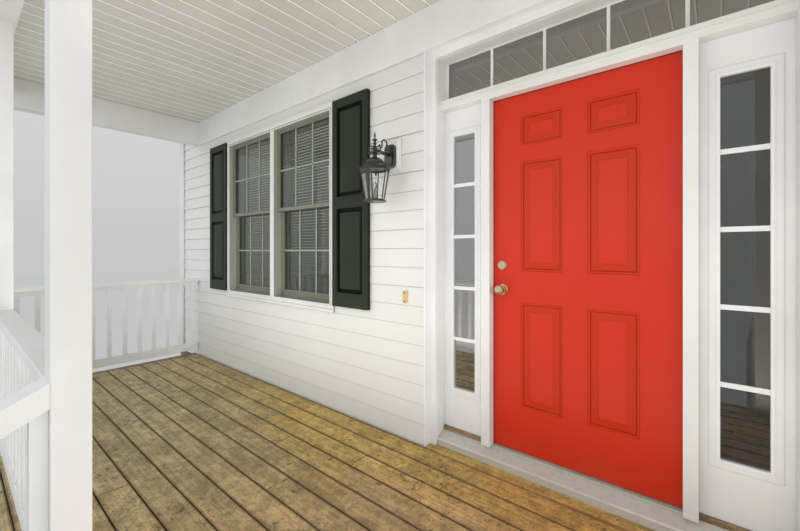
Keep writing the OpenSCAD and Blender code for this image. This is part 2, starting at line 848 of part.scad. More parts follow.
module door_knob() {
    color(brass) {
        on_leaf(knob_z) knob();
        on_leaf_back(knob_z) knob();
        on_leaf(knob_z) translate([0, 0, -leaf_t]) cylinder(h = leaf_t, r = spindle_r);
    }
}

// Wall lanterns

// Places a lantern piece: the origin is on its axis, at the height of its brim
brim_drop = 117;
module at_lanterns() {
    both_sides() translate([lantern_x, -lantern_out, deck_h + lantern_z - brim_drop]) children();
}

// The block behind the lantern has a raised middle with bevelled sides
block_w = 150;
block_h = 216;
block_t = 22;

module lantern_blocks() {
    base_t = 13;
    rim = 11;
    color(white) both_sides() translate([lantern_x, 0, deck_h + lantern_z]) {
        slab(-block_w / 2, block_w / 2, -base_t, 0, -block_h / 2, block_h / 2);
        translate([0, -base_t, 0])
            bevel_block(block_w - 2 * rim, block_h - 2 * rim, block_t - base_t, 5);
    }
}

// Back plate, strap and scroll that hold the lantern at its neck
plate_w = 92;
plate_h = 155;
plate_t = 14;
plate_corner = 28;
plate_drop = 8;
strap_z = 107;
strap_h = 22;
strap_w = 11;
scroll_r = 23;
scroll_z = 184;
curl_r = 12;
curl_z = 162;
rod_r = 5;
neck_r = 14;

// A flat outline with round corners, its middle at the origin
module round_outline(w, h, r) {
    square([w - 2 * r, h], center = true);
    square([w, h - 2 * r], center = true);
    for (x = [-1, 1], y = [-1, 1]) translate([x * (w / 2 - r), y * (h / 2 - r)]) circle(r = r);
}

// The upper half of a ring of rod, upright in the plane of Y and Z
module half_ring(r) {
    rotate([90, 0, 90]) rotate_extrude(angle = 180) translate([r, 0]) circle(r = rod_r);
}

module lantern_brackets() {
    wall_y = lantern_out - block_t;
    face_y = wall_y - plate_t;
    boss = 18;
    boss_t = 7;
    scroll_y = face_y - boss_t - 20 - scroll_r;
    curl_y = scroll_y - scroll_r - curl_r;
    ball_r = 8;
    color(black) at_lanterns() {
        translate([0, wall_y, brim_drop - plate_drop]) rotate([90, 0, 0]) {
            linear_extrude(plate_t) round_outline(plate_w, plate_h, plate_corner);
            linear_extrude(plate_t + boss_t)
                round_outline(plate_w - 2 * boss, plate_h - 2 * boss, plate_corner - boss / 2);
        }
        slab(-strap_w / 2, strap_w / 2, neck_r + running_gap, face_y, strap_z, strap_z + strap_h);
        translate([0, scroll_y, scroll_z]) half_ring(scroll_r);
        translate([0, scroll_y + scroll_r, strap_z + strap_h / 2])
            cylinder(h = scroll_z - strap_z - strap_h / 2, r = rod_r);
        translate([0, scroll_y - scroll_r, curl_z]) cylinder(h = scroll_z - curl_z, r = rod_r);
        translate([0, curl_y, curl_z]) mirror([0, 0, 1]) half_ring(curl_r);
        translate([0, curl_y - curl_r, curl_z]) sphere(r = ball_r);
    }
}

// The cage tapers from the brim down to the base plate, with six glazed sides
glass_r1 = 61;
glass_r2 = 96;
base_r = 73;
base_t = 7;
cage_bar = 4;
pane_clear = 3;
lantern_pane_t = 3;

// A six-sided frustum that stands on Z 0, with its corners at two radii
module hex_frustum(h, r1, r2) {
    a1 = r1 * cos(30);
    a2 = r2 * cos(30);
    reach = 2 * max(r1, r2);
    intersection_for(a = [0 : 60 : 120]) rotate([0, 0, a])
        along_x(-reach, reach, [[-a1, 0], [a1, 0], [a2, h], [-a2, h]]);
}

// The hollow of a frustum's wall, cut past both ends
module hex_tube(h, r1, r2, wall) {
    grow = (r2 - r1) / h * over;
    difference() {
        hex_frustum(h, r1, r2);
        translate([0, 0, -over])
            hex_frustum(h + 2 * over, r1 - wall - grow, r2 - wall + grow);
    }
}

// The brim, the two tiers of the roof with a band between them, and the neck
roof_profile = [[0, 0], [brim_d / 2, 0], [brim_d / 2, 5], [95, 8], [82, 17], [71, 28], [68, 33],
                [71, 33], [71, 38], [65, 38], [61, 45], [52, 56], [39, 66], [24, 73], [neck_r, 78],
                [neck_r, 101], [0, 101]];
// The turned finial, from the crown up to its spike
finial_profile = [[0, 105], [neck_r, 105], [neck_r, 131], [17, 136], [12, 145], [6, 152], [10, 160],
                  [12, 166], [5, 176], [16, 186], [16, 190], [4, 196], [5, 206], [7, 215], [4, 227],
                  [1, 240], [0, 240]];
crown_r = 42;
crown_z = 101;
crown_top = 136;
crown_posts = 12;
crown_rim = 4;
post_r = 2;

// The open crown round the finial: two rings joined by thin posts
module crown() {
    translate([0, 0, crown_z]) cylinder(h = crown_rim, r = crown_r);
    translate([0, 0, crown_top]) difference() {
        cylinder(h = crown_rim, r = crown_r);
        translate([0, 0, -over]) cylinder(h = crown_rim + 2 * over, r = crown_r - 2 * crown_rim);
    }
    for (a = [15 : 360 / crown_posts : 360]) rotate([0, 0, a]) translate([crown_r - crown_rim, 0, crown_z])
        cylinder(h = crown_top - crown_z + crown_rim / 2, r = post_r);
}

module lantern_cages() {
    edge = 8;
    catch_r = 7;
    catch_angle = 50;
    color(black) at_lanterns() {
        difference() {
            translate([0, 0, -body_h]) hex_tube(body_h, glass_r1 + 3, glass_r2 + 3, 5);
            for (a = [0 : 60 : 300]) rotate([0, 0, a]) translate([0, -glass_r1 / 3, 0]) rotate([90, 0, 0])
                linear_extrude(glass_r2) polygon([
                    [-glass_r1 / 2 + cage_bar, edge - body_h], [glass_r1 / 2 - cage_bar, edge - body_h],
                    [glass_r2 / 2 - cage_bar, -edge], [-glass_r2 / 2 + cage_bar, -edge]]);
        }
        translate([0, 0, -body_h - base_t]) cylinder(h = base_t, r = base_r);
        rotate_extrude() polygon(roof_profile);
        crown();
        rotate_extrude() polygon(finial_profile);
        rotate([0, 0, catch_angle]) translate([brim_d / 2 - catch_r - 2, 0, -3 * catch_r])
            cylinder(h = 3 * catch_r, r = catch_r);
    }
}

// The glass stands inside the bars, and between the base plate and the brim
module lantern_glass() {
    h = body_h - 2 * running_gap;
    color(glass) at_lanterns() translate([0, 0, running_gap - body_h])
        hex_tube(h, glass_r1 - pane_clear, glass_r2 - pane_clear, lantern_pane_t);
}

house_foundation();
brick_skirt();
front_steps();
deck_frame();
deck_floor();
porch_posts();
front_rail_left();
front_rail_right();
end_rail_left();
end_rail_right();
stair_rail_left();
stair_rail_right();
front_beam();
end_beams();
porch_ceiling();
frieze_board();
wall_left_of_door();
wall_right_of_door();
wall_over_door();
wall_outer_left();
wall_outer_right();
walls_below_windows();
walls_above_windows();
corner_boards();
roof_deck();
eave_trim();
gable_ends();
window_frames();
window_sashes();
window_glass();
shutters();
lantern_blocks();
lantern_brackets();
lantern_cages();
lantern_glass();
door_casing();
door_frame();
door_sill();
transom_sash();
transom_glass();
sidelight_panels();
sidelight_glass();
frame_hinges();
door_leaf();
leaf_hinges();
door_locks();
door_knob();
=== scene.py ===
"""Dresses the entrance porch: its boards, bricks, shingles, paint, glass and metal.

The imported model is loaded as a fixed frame, and each class below dresses one sub-assembly of
it. Everything is in metres, with X along the wall, Y into the house and Z up.
"""

from __future__ import annotations

import json
import logging
import math
from collections.abc import Callable, Sequence
from dataclasses import dataclass
from enum import Enum

import bmesh
import bpy
from mathutils import Matrix, Vector

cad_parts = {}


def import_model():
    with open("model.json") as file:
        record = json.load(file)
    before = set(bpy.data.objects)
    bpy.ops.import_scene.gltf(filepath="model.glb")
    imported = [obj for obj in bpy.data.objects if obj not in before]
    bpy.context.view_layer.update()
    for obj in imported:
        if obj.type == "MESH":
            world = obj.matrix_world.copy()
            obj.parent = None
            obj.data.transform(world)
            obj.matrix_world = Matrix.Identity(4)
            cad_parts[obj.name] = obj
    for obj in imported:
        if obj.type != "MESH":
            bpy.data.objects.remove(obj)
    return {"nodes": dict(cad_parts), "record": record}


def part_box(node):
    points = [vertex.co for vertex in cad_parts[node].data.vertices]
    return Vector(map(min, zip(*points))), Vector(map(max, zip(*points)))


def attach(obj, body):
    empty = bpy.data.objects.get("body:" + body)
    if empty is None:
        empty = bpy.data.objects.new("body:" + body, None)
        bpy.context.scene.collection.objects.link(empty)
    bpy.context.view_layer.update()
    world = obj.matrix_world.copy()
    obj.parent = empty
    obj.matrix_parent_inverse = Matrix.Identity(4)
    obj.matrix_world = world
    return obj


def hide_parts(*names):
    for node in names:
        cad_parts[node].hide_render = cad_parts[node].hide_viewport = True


LOG = logging.getLogger("porch")
Point = tuple[float, float, float]
Colour = tuple[float, float, float]
Socket = bpy.types.NodeSocket
Node = bpy.types.Node
Tree = bpy.types.NodeTree
Mesh = bpy.types.Mesh
Material = bpy.types.Material
Object = bpy.types.Object
PORCH = "porch"
DOOR = "door"

# Edges sharper than this many degrees stay sharp: as a rule, and on lapped or beaded boards
SMOOTH = 14.0
SMOOTH_BOARDS = 20.0

# For copies of a node's mesh: points this near are one, faces this flat are one, and edges past this
# angle are rounded over
MERGE = 2e-5
FLAT = math.radians(0.3)
CORNER = math.radians(24.0)


class Along(Enum):
    """The direction in which a board or its grain runs."""

    X = "x"
    Y = "y"
    Z = "z"


def moved_by(x: float, y: float, z: float) -> Matrix:
    """Gives the matrix of a move."""
    return Matrix.Translation((x, y, z))


def turned_by(degrees: float, axis: str) -> Matrix:
    """Gives the matrix of a turn about an axis."""
    return Matrix.Rotation(math.radians(degrees), 4, axis)


class Graph:
    """A node tree under construction, with short calls for its nodes and links."""

    def __init__(self, tree: Tree) -> None:
        """Keeps the tree that is built."""
        self.tree = tree

    def node(self, kind: str, **settings: object) -> Node:
        """Adds a node.

        Args:
            kind: Blender's name for the node's type.
            **settings: Properties of the node.

        Returns:
            The new node.
        """
        made = self.tree.nodes.new(kind)
        for name, value in settings.items():
            setattr(made, name, value)
        return made

    def wire(self, node: Node, **inputs: object) -> Node:
        """Sets or links a node's inputs by their names, with _ for a space.

        Args:
            node: The node whose inputs are set.
            **inputs: A socket to link from, or a plain value.

        Returns:
            The same node.
        """
        for name, value in inputs.items():
            wanted = name.replace("_", " ")
            socket = next(s for s in node.inputs if s.name == wanted and s.enabled)
            self.feed(socket, value)
        return node

    def feed(self, socket: Socket, value: object) -> None:
        """Links a socket to another one, or gives it a plain value.

        Args:
            socket: The input.
            value: A socket to link from, or a plain value.
        """
        if isinstance(value, Socket):
            self.tree.links.new(value, socket)
        else:
            socket.default_value = value

    def fed(self, node: Node, values: Sequence[object]) -> Node:
        """Sets or links a node's inputs in their order, and returns the node.

        Args:
            node: The node.
            values: Sockets to link from, or plain values.

        Returns:
            The same node.
        """
        for socket, value in zip(node.inputs, values):
            self.feed(socket, value)
        return node

    def math(self, operation: str, *values: object, clamp: bool = False) -> Socket:
        """Adds a Math node.

        Args:
            operation: Blender's name for the operation.
            *values: Sockets or numbers for its inputs.
            clamp: Whether the result stays between 0 and 1.

        Returns:
            The result's socket.
        """
        node = self.node("ShaderNodeMath", operation=operation, use_clamp=clamp)
        return self.fed(node, values).outputs[0]

    def vector(self, operation: str, *values: object) -> Socket:
        """Adds a Vector Math node and returns its vector."""
        return self.fed(self.node("ShaderNodeVectorMath", operation=operation), values).outputs[0]

    def scaled(self, vector: object, by: object) -> Socket:
        """Multiplies a vector by a number or a socket, and returns the result."""
        node = self.node("ShaderNodeVectorMath", operation="SCALE")
        return self.wire(node, Vector=vector, Scale=by).outputs[0]

    def joined(self, x: object = 0.0, y: object = 0.0, z: object = 0.0) -> Socket:
        """Makes a vector from three numbers or sockets."""
        return self.fed(self.node("ShaderNodeCombineXYZ"), (x, y, z)).outputs[0]

    def noise(self, vector: object, scale: object, detail: float = 3.0, rough: float = 0.5,
              twist: float = 0.0) -> Socket:
        """Adds a Noise Texture and returns its value.

        Args:
            vector: The coordinates.
            scale: Its scale, for each metre.
            detail: The number of octaves.
            rough: How strong the fine octaves are.
            twist: The distortion.

        Returns:
            A socket with the noise, about 0.5 on average.
        """
        node = self.node("ShaderNodeTexNoise")
        self.wire(node, Vector=vector, Scale=scale, Detail=detail, Roughness=rough, Distortion=twist)
        return node.outputs["Fac"]

    def spread(self, value: object, low: float, high: float, to_low: float = 0.0,
               to_high: float = 1.0) -> Socket:
        """Maps a value smoothly from one range to another, and returns the result."""
        node = self.node("ShaderNodeMapRange", interpolation_type="SMOOTHSTEP")
        return self.fed(node, (value, low, high, to_low, to_high)).outputs[0]

    def blend(self, factor: object, first: object, second: object,
              mode: str = "MIX") -> Socket:
        """Mixes two colours.

        Args:
            factor: How much of the second colour shows.
            first: A colour or a socket.
            second: A colour or a socket.
            mode: The blend mode.

        Returns:
            The mixed colour's socket.
        """
        node = self.node("ShaderNodeMix", data_type="RGBA", blend_type=mode)
        self.feed(node.inputs["Factor"], factor)
        for name, value in (("A", first), ("B", second)):
            socket = next(s for s in node.inputs if s.name == name and s.enabled)
            self.feed(socket, (*value, 1.0) if isinstance(value, tuple) else value)
        return self.result(node)

    @staticmethod
    def result(node: Node) -> Socket:
        """Gives a node's first output that is in use."""
        return next(s for s in node.outputs if s.enabled)

    def random(self, kind: str, low: object, high: object, index: object, seed: object) -> Socket:
        """Adds a Random Value node.

        Args:
            kind: Blender's name for the type of value.
            low: The lowest value.
            high: The highest value.
            index: What the value belongs to.
            seed: The seed.

        Returns:
            The value's socket.
        """
        node = self.node("FunctionNodeRandomValue", data_type=kind)
        return self.result(self.wire(node, Min=low, Max=high, ID=index, Seed=seed))


def new_group(name: str, kind: str, inputs: dict[str, tuple[str, object]],
              outputs: dict[str, str]) -> tuple[Graph, Node, Node]:
    """Starts a node group with named inputs and outputs.

    Args:
        name: The group's name.
        kind: The type of its tree.
        inputs: For each input's name, its socket type and default value.
        outputs: For each output's name, its socket type.

    Returns:
        The graph, its input node and its output node.
    """
    tree = bpy.data.node_groups.new(name, kind)
    for label, (socket_type, value) in inputs.items():
        socket = tree.interface.new_socket(label, in_out="INPUT", socket_type=socket_type)
        if value is not None:
            socket.default_value = value
    for label, socket_type in outputs.items():
        tree.interface.new_socket(label, in_out="OUTPUT", socket_type=socket_type)
    graph = Graph(tree)
    return graph, graph.node("NodeGroupInput"), graph.node("NodeGroupOutput")


VECTOR = "NodeSocketVector"
FLOAT = "NodeSocketFloat"
INT = "NodeSocketInt"


def wood_grain_group() -> Tree:
    """Grain, growth rings and knots of a board, for coordinates with the grain along X.

    Returns:
        The group.
    """
    g, start, end = new_group(
        "wood_grain", "ShaderNodeTree",
        {"Vector": (VECTOR, None), "Fineness": (FLOAT, 1.0), "Shift": (FLOAT, 0.0)},
        {"Tone": FLOAT, "Height": FLOAT, "Knots": FLOAT})
    shift = g.joined(g.math("MULTIPLY", start.outputs["Shift"], 37.0), 0.0,
                     g.math("MULTIPLY", start.outputs["Shift"], 11.0))
    place = g.vector("ADD", start.outputs["Vector"], shift)
    stretched = g.vector("MULTIPLY", place, (0.35, 1.0, 1.0))
    knot_place = g.vector("MULTIPLY", place, (2.4, 7.0, 7.0))
    cells = g.node("ShaderNodeTexVoronoi", feature="F1")
    g.wire(cells, Vector=knot_place, Scale=1.0, Randomness=1.0)
    knots = g.spread(cells.outputs["Distance"], 0.075, 0.03)
    halo = g.spread(cells.outputs["Distance"], 0.30, 0.04)
    bent = g.vector("ADD", stretched, g.joined(0.0, g.math("MULTIPLY", halo, 0.02), 0.0))
    fine = g.math("MULTIPLY", start.outputs["Fineness"], 60.0)
    rings = g.noise(g.vector("MULTIPLY", bent, (0.10, 1.0, 1.0)), fine, 4.0, 0.55, 0.4)
    fibres = g.noise(g.vector("MULTIPLY", bent, (0.06, 1.0, 1.0)),
                     g.math("MULTIPLY", start.outputs["Fineness"], 260.0), 3.0, 0.6)
    tone = g.math("ADD", g.math("MULTIPLY", g.spread(rings, 0.35, 0.65), 0.7),
                  g.math("MULTIPLY", fibres, 0.3))
    g.feed(end.inputs["Tone"], tone)
    g.feed(end.inputs["Height"], g.math("ADD", g.math("MULTIPLY", rings, 0.4), fibres))
    g.feed(end.inputs["Knots"], knots)
    return g.tree


def paint_film_group() -> Tree:
    """Brush marks and slight unevenness of a coat of paint.

    Returns:
        The group.
    """
    g, start, end = new_group(
        "paint_film", "ShaderNodeTree",
        {"Vector": (VECTOR, None), "Brush": (VECTOR, (0.05, 1.0, 1.0)), "Peel": (FLOAT, 0.5)},
        {"Height": FLOAT, "Tone": FLOAT})
    brushed = g.vector("MULTIPLY", start.outputs["Vector"], start.outputs["Brush"])
    strokes = g.noise(brushed, 420.0, 3.0, 0.6)
    peel = g.noise(start.outputs["Vector"], 300.0, 1.0, 0.4)
    height = g.math("ADD", g.math("MULTIPLY", strokes, g.math("SUBTRACT", 1.0, start.outputs["Peel"])),
                    g.math("MULTIPLY", peel, start.outputs["Peel"]))
    g.feed(end.inputs["Height"], height)
    g.feed(end.inputs["Tone"], g.noise(start.outputs["Vector"], 1.7, 4.0, 0.6))
    return g.tree


def grime_group() -> Tree:
    """Dust and splashes that thin out upwards from a level.

    Returns:
        The group.
    """
    g, start, end = new_group(
        "grime", "ShaderNodeTree",
        {"Vector": (VECTOR, None), "Level": (FLOAT, 0.0), "Reach": (FLOAT, 0.25),
         "Amount": (FLOAT, 0.5)},
        {"Mask": FLOAT})
    parts = g.node("ShaderNodeSeparateXYZ")
    g.feed(parts.inputs[0], start.outputs["Vector"])
    above = g.math("SUBTRACT", parts.outputs["Z"], start.outputs["Level"])
    fade = g.math("SUBTRACT", 1.0, g.math("DIVIDE", above, start.outputs["Reach"]), clamp=True)
    patches = g.spread(g.noise(start.outputs["Vector"], 9.0, 6.0, 0.65), 0.35, 0.75)
    mask = g.math("MULTIPLY", g.math("MULTIPLY", g.math("POWER", fade, 1.6), patches),
                  start.outputs["Amount"], clamp=True)
    g.feed(end.inputs["Mask"], mask)
    return g.tree


class Effects:
    """The shader groups that several finishes share, each built once."""

    _makers: dict[str, Callable[[], Tree]] = {
        "wood_grain": wood_grain_group,
        "paint_film": paint_film_group,
        "grime": grime_group,
    }
    _made: dict[str, Tree] = {}

    @classmethod
    def place(cls, graph: Graph, name: str, **inputs: object) -> Node:
        """Places a shared group in a material.

        Args:
            graph: The material's graph.
            name: The group's name.
            **inputs: Values or sockets for its inputs.

        Returns:
            The group's node.
        """
        if name not in cls._made:
            cls._made[name] = cls._makers[name]()
        node = graph.node("ShaderNodeGroup")
        node.node_tree = cls._made[name]
        return graph.wire(node, **inputs)


class Surface(Graph):
    """A material with a Principled shader and coordinates in the object's own frame."""

    def __init__(self, name: str) -> None:
        """Starts an empty material.

        Args:
            name: The material's name.
        """
        self.material = bpy.data.materials.new(name)
        self.material.use_nodes = True
        super().__init__(self.material.node_tree)
        self.tree.nodes.clear()
        self.shader = self.node("ShaderNodeBsdfPrincipled")
        output = self.node("ShaderNodeOutputMaterial")
        self.tree.links.new(self.shader.outputs[0], output.inputs["Surface"])
        self.place = self.node("ShaderNodeTexCoord").outputs["Object"]

    def attribute(self, name: str) -> Socket:
        """Reads a number that is stored on the mesh."""
        node = self.node("ShaderNodeAttribute", attribute_name=name, attribute_type="GEOMETRY")
        return node.outputs["Fac"]

    def raised(self, height: object, depth: float) -> None:
        """Adds a bump to the shader's normal.

        Args:
            height: The socket of the height, about 0 to 1.
            depth: The height of 1, in metres.
        """
        bump = self.wire(self.node("ShaderNodeBump"), Strength=1.0, Distance=depth, Height=height)
        self.wire(self.shader, Normal=bump.outputs["Normal"])

    def axis(self, which: Along) -> Socket:
        """Gives one coordinate."""
        return self.wire(self.node("ShaderNodeSeparateXYZ"), Vector=self.place).outputs[which.name]

    def along(self, grain: Along) -> Socket:
        """Gives coordinates turned so that the grain runs along X."""
        others = [axis for axis in Along if axis is not grain]
        return self.joined(*(self.axis(axis) for axis in (grain, *others)))


@dataclass(frozen=True)
class Finish:
    """A finish, which fills a material of its own name."""

    name: str

    def build(self) -> Material:
        """Makes the material.

        Returns:
            The material.
        """
        s = Surface(self.name)
        self.fill(s)
        return s.material

    def fill(self, s: Surface) -> None:
        """Sets the surface up, in each kind of finish in its own way."""
        raise NotImplementedError


@dataclass(frozen=True)
class PaintedLightByDepth:
    """A painted shade or highlight: a colour that sets in with depth, measured from a node's low corner along
    one axis.
    """

    node: str
    axis: Along
    start: float
    end: float
    colour: Colour
    amount: float = 0.9

    def laid_on(self, s: Surface, base: Socket) -> Socket:
        """Mixes the colour into another.

        Args:
            s: The surface that is being made.
            base: The colour without the accent.

        Returns:
            The mixed colour.
        """
        zero = getattr(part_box(self.node)[0], self.axis.value)
        mask = s.spread(s.axis(self.axis), zero + self.start, zero + self.end, 0.0, self.amount)
        return s.blend(mask, base, self.colour)


@dataclass(frozen=True)
class Paint(Finish):
    """Painted wood or metal, with brush marks, a little unevenness, dust low down and, on some, painted shade
    or highlights by depth.
    """

    colour: Colour
    rough: float = 0.42
    grain: Along = Along.X
    peel: float = 0.3
    bump: float = 0.0002
    uneven: float = 0.05
    dust: Colour = (0.36, 0.33, 0.27)
    dust_level: float = 0.70
    dust_reach: float = 0.35
    dust_amount: float = 0.35
    gloss: float = 0.5
    painted_light: tuple[PaintedLightByDepth, ...] = ()

    def fill(self, s: Surface) -> None:
        """Sets the surface up.

        Args:
            s: The surface.
        """
        turned = s.along(self.grain)
        film = Effects.place(s, "paint_film", Vector=turned, Brush=(0.05, 1.0, 1.0), Peel=self.peel)
        grime = Effects.place(s, "grime", Vector=s.place, Level=self.dust_level,
                              Reach=self.dust_reach, Amount=self.dust_amount)
        darker = tuple(c * (1.0 - 2.0 * self.uneven) for c in self.colour)
        base = s.blend(s.spread(film.outputs["Tone"], 0.3, 0.7), darker, self.colour)
        base = s.blend(grime.outputs["Mask"], base, self.dust)
        # Painted shade and highlights that set in with depth
        for accent in self.painted_light:
            base = accent.laid_on(s, base)
        rough = s.math("MULTIPLY_ADD", film.outputs["Tone"], 0.16, self.rough - 0.08)
        s.wire(s.shader, Base_Color=base, Specular_IOR_Level=self.gloss,
               Roughness=s.math("MULTIPLY_ADD", grime.outputs["Mask"], 0.3, rough, clamp=True))
        s.raised(film.outputs["Height"], self.bump)


@dataclass(frozen=True)
class Mottle:
    """Light and dark patches of one size, by which a tone is multiplied."""

    scale: float
    detail: float
    dark: float
    light: float

    def laid_on(self, s: Surface, tone: Socket) -> Socket:
        """Varies a tone with the patches."""
        patch = s.noise(s.place, self.scale, self.detail, 0.64, 0.4)
        return s.math("MULTIPLY", tone, s.spread(patch, 0.34, 0.66, self.dark, self.light))


@dataclass(frozen=True)
class DeckTimber(Finish):
    """Weathered treated boards: golden by the wall, olive at the far front, spotted with mould."""

    grain: Along
    tan: Colour = (0.54, 0.385, 0.18)
    olive: Colour = (0.48, 0.385, 0.19)
    gold: Colour = (0.64, 0.435, 0.115)
    mould: Colour = (0.050, 0.042, 0.026)
    seam: Colour = (0.15, 0.080, 0.042)
    knot: Colour = (0.10, 0.052, 0.024)
    # Painted shade in the gaps: the boards' sides, below their top, go near black
    side: Colour = (0.02, 0.014, 0.008)
    side_depth: float = 0.004
    gold_share: float = 0.85
    top: float = 0.711
    joint_y: float = -1.3021
    pitch: float = 0.1432
    end_reach: float = 0.06
    mottles: tuple[Mottle, ...] = (Mottle(scale=5.0, detail=6.0, dark=0.82, light=1.13),
                                   Mottle(scale=19.0, detail=6.0, dark=0.80, light=1.16),
                                   Mottle(scale=85.0, detail=3.0, dark=0.88, light=1.10))

    def fill(self, s: Surface) -> None:
        """Sets the surface up.

        Args:
            s: The surface.
        """
        tint = s.attribute("tint")
        wood = Effects.place(s, "wood_grain", Vector=s.along(self.grain), Fineness=1.0, Shift=tint)
        tones = s.math("MULTIPLY", s.spread(wood.outputs["Tone"], 0.25, 0.75, 0.88, 1.10),
                       s.spread(tint, 0.0, 1.0, 0.90, 1.08))
        for mottle in self.mottles:
            tones = mottle.laid_on(s, tones)
        base = s.scaled(self._ground(s), tones)
        knots = s.math("MULTIPLY", wood.outputs["Knots"], 0.85)
        depth = s.math("SUBTRACT", self.top, s.axis(Along.Z))
        # Painted shade: the boards' sides darken to near black below their top, where the gaps are
        sides = s.spread(depth, self.side_depth / 4, self.side_depth, 0.0, 0.92)
        for mask, colour in ((self._mould(s), self.mould), (self._seams(s), self.seam), (knots, self.knot),
                             (sides, self.side)):
            base = s.blend(mask, base, colour)
        s.wire(s.shader, Base_Color=base, Roughness=s.spread(tones, 0.6, 1.3, 0.72, 0.52))
        s.raised(wood.outputs["Height"], 0.0012)

    def _ground(self, s: Surface) -> Socket:
        """Mixes the colour of the place on the deck, with wandering borders.

        Args:
            s: The surface.

        Returns:
            The colour's socket.
        """
        wander = s.math("MULTIPLY", s.math("SUBTRACT", s.noise(s.place, 1.6, 4.0, 0.6), 0.5), 1.4)
        x = s.math("ADD", s.axis(Along.X), wander)
        y = s.math("ADD", s.axis(Along.Y), wander)
        ground = s.blend(s.spread(x, -2.3, -0.7), self.olive, self.tan)
        golden = s.math("MULTIPLY", s.spread(y, -0.75, -0.20), s.spread(x, -3.3, -2.0, 0.25, 1.0))
        return s.blend(s.math("MULTIPLY", golden, self.gold_share), ground, self.gold)

    def _mould(self, s: Surface) -> Socket:
        """Finds the dark spots: in clusters, and small specks everywhere.

        Args:
            s: The surface.

        Returns:
            The socket of the mask.
        """
        cluster = s.spread(s.noise(s.place, 3.4, 5.0, 0.6, 0.8), 0.46, 0.60, 0.25, 1.0)
        spots = s.spread(s.noise(s.place, 30.0, 8.0, 0.78), 0.535, 0.62, 0.0, 0.85)
        specks = s.spread(s.noise(s.place, 105.0, 2.0, 0.6), 0.60, 0.68, 0.0, 0.55)
        return s.math("MAXIMUM", s.math("MULTIPLY", spots, cluster), specks)

    def _seams(self, s: Surface) -> Socket:
        """Finds the darker edges along the gaps, and the grime at the deck's two ends.

        Args:
            s: The surface.

        Returns:
            The socket of the mask.
        """
        along = s.math("DIVIDE", s.math("SUBTRACT", s.axis(Along.Y), self.joint_y), self.pitch)
        edge = s.spread(s.math("PINGPONG", along, 0.5), 0.035, 0.10, 0.6, 0.0)
        ragged = s.math("MULTIPLY", s.noise(s.place, 18.0, 5.0, 0.7), 0.12)
        out = s.math("ADD", s.math("ABSOLUTE", s.axis(Along.X)), ragged)
        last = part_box("deck_floor")[1].x
        return s.math("MAXIMUM", edge, s.spread(out, last - self.end_reach, last, 0.0, 0.9))


@dataclass(frozen=True)
class Vinyl(Finish):
    """Moulded vinyl with a faint wood grain along its boards, and a painted shadow just under each lap."""

    colour: Colour
    grain: Along = Along.X
    rough: float = 0.48
    bump: float = 0.00025
    stain: Colour = (0.62, 0.62, 0.56)
    # The colour and strength of the painted shadow under each lap
    lap_shadow_colour: Colour = (0.42, 0.42, 0.40)
    lap_first: float = 0.720
    lap_pitch: float = 0.1238
    lap_shadow: float = 0.80

    def fill(self, s: Surface) -> None:
        """Sets the surface up.

        Args:
            s: The surface.
        """
        tint = s.attribute("tint")
        wood = Effects.place(s, "wood_grain", Vector=s.along(self.grain), Fineness=0.55, Shift=tint)
        grime = Effects.place(s, "grime", Vector=s.place, Level=0.70, Reach=0.6, Amount=0.30)
        shade = tuple(c * 0.94 for c in self.colour)
        broad = s.spread(s.noise(s.place, 1.1, 4.0, 0.55), 0.3, 0.7)
        base = s.blend(s.math("MULTIPLY_ADD", broad, 0.6, s.math("MULTIPLY", tint, 0.4)),
                       self.colour, shade)
        # Painted shadow: a dark band just under each lap's butt edge
        rise = s.math("DIVIDE", s.math("SUBTRACT", s.axis(Along.Z), self.lap_first), self.lap_pitch)
        lap_shadow_mask = s.spread(s.math("FRACT", rise), 0.940, 0.968, 0.0, self.lap_shadow)
        base = s.blend(lap_shadow_mask, s.blend(grime.outputs["Mask"], base, self.stain), self.lap_shadow_colour)
        s.wire(s.shader, Base_Color=base,
               Roughness=s.spread(broad, 0.0, 1.0, self.rough - 0.05, self.rough + 0.08))
        s.raised(wood.outputs["Height"], self.bump)


@dataclass(frozen=True)
class Brick(Finish):
    """Fired brick in mixed purple browns, rough and pitted."""

    low: Colour = (0.20, 0.095, 0.075)
    high: Colour = (0.42, 0.24, 0.19)
    burnt: Colour = (0.10, 0.065, 0.062)
    dust: Colour = (0.30, 0.26, 0.20)
    rough: float = 0.88
    depth: float = 0.0022

    def fill(self, s: Surface) -> None:
        """Sets the surface up.

        Args:
            s: The surface.
        """
        tint = s.attribute("tint")
        body = s.blend(tint, self.low, self.high)
        blotch = s.spread(s.noise(s.place, 26.0, 5.0, 0.6), 0.45, 0.75)
        mixed = s.blend(s.math("MULTIPLY", blotch, 0.55), body, self.burnt)
        grime = Effects.place(s, "grime", Vector=s.place, Level=0.0, Reach=0.4, Amount=0.6)
        s.wire(s.shader, Base_Color=s.blend(grime.outputs["Mask"], mixed, self.dust), Roughness=self.rough)
        pits = s.math("ADD", s.noise(s.place, 190.0, 5.0, 0.7), s.noise(s.place, 45.0, 2.0, 0.5))
        s.raised(pits, self.depth)


@dataclass(frozen=True)
class Gritty(Finish):
    """A rough mineral surface, such as mortar, plaster or asphalt granules."""

    low: Colour
    high: Colour
    grain: float = 320.0
    depth: float = 0.0015
    rough: float = 0.92

    def fill(self, s: Surface) -> None:
        """Sets the surface up.

        Args:
            s: The surface.
        """
        tint = s.attribute("tint")
        grit = s.noise(s.place, self.grain, 3.0, 0.7)
        broad = s.noise(s.place, 3.0, 5.0, 0.6)
        share = s.math("ADD", s.math("MULTIPLY", s.spread(grit, 0.35, 0.65), 0.5),
                       s.math("MULTIPLY", s.math("ADD", s.spread(broad, 0.3, 0.7), tint), 0.25))
        s.wire(s.shader, Base_Color=s.blend(share, self.low, self.high), Roughness=self.rough)
        s.raised(grit, self.depth)


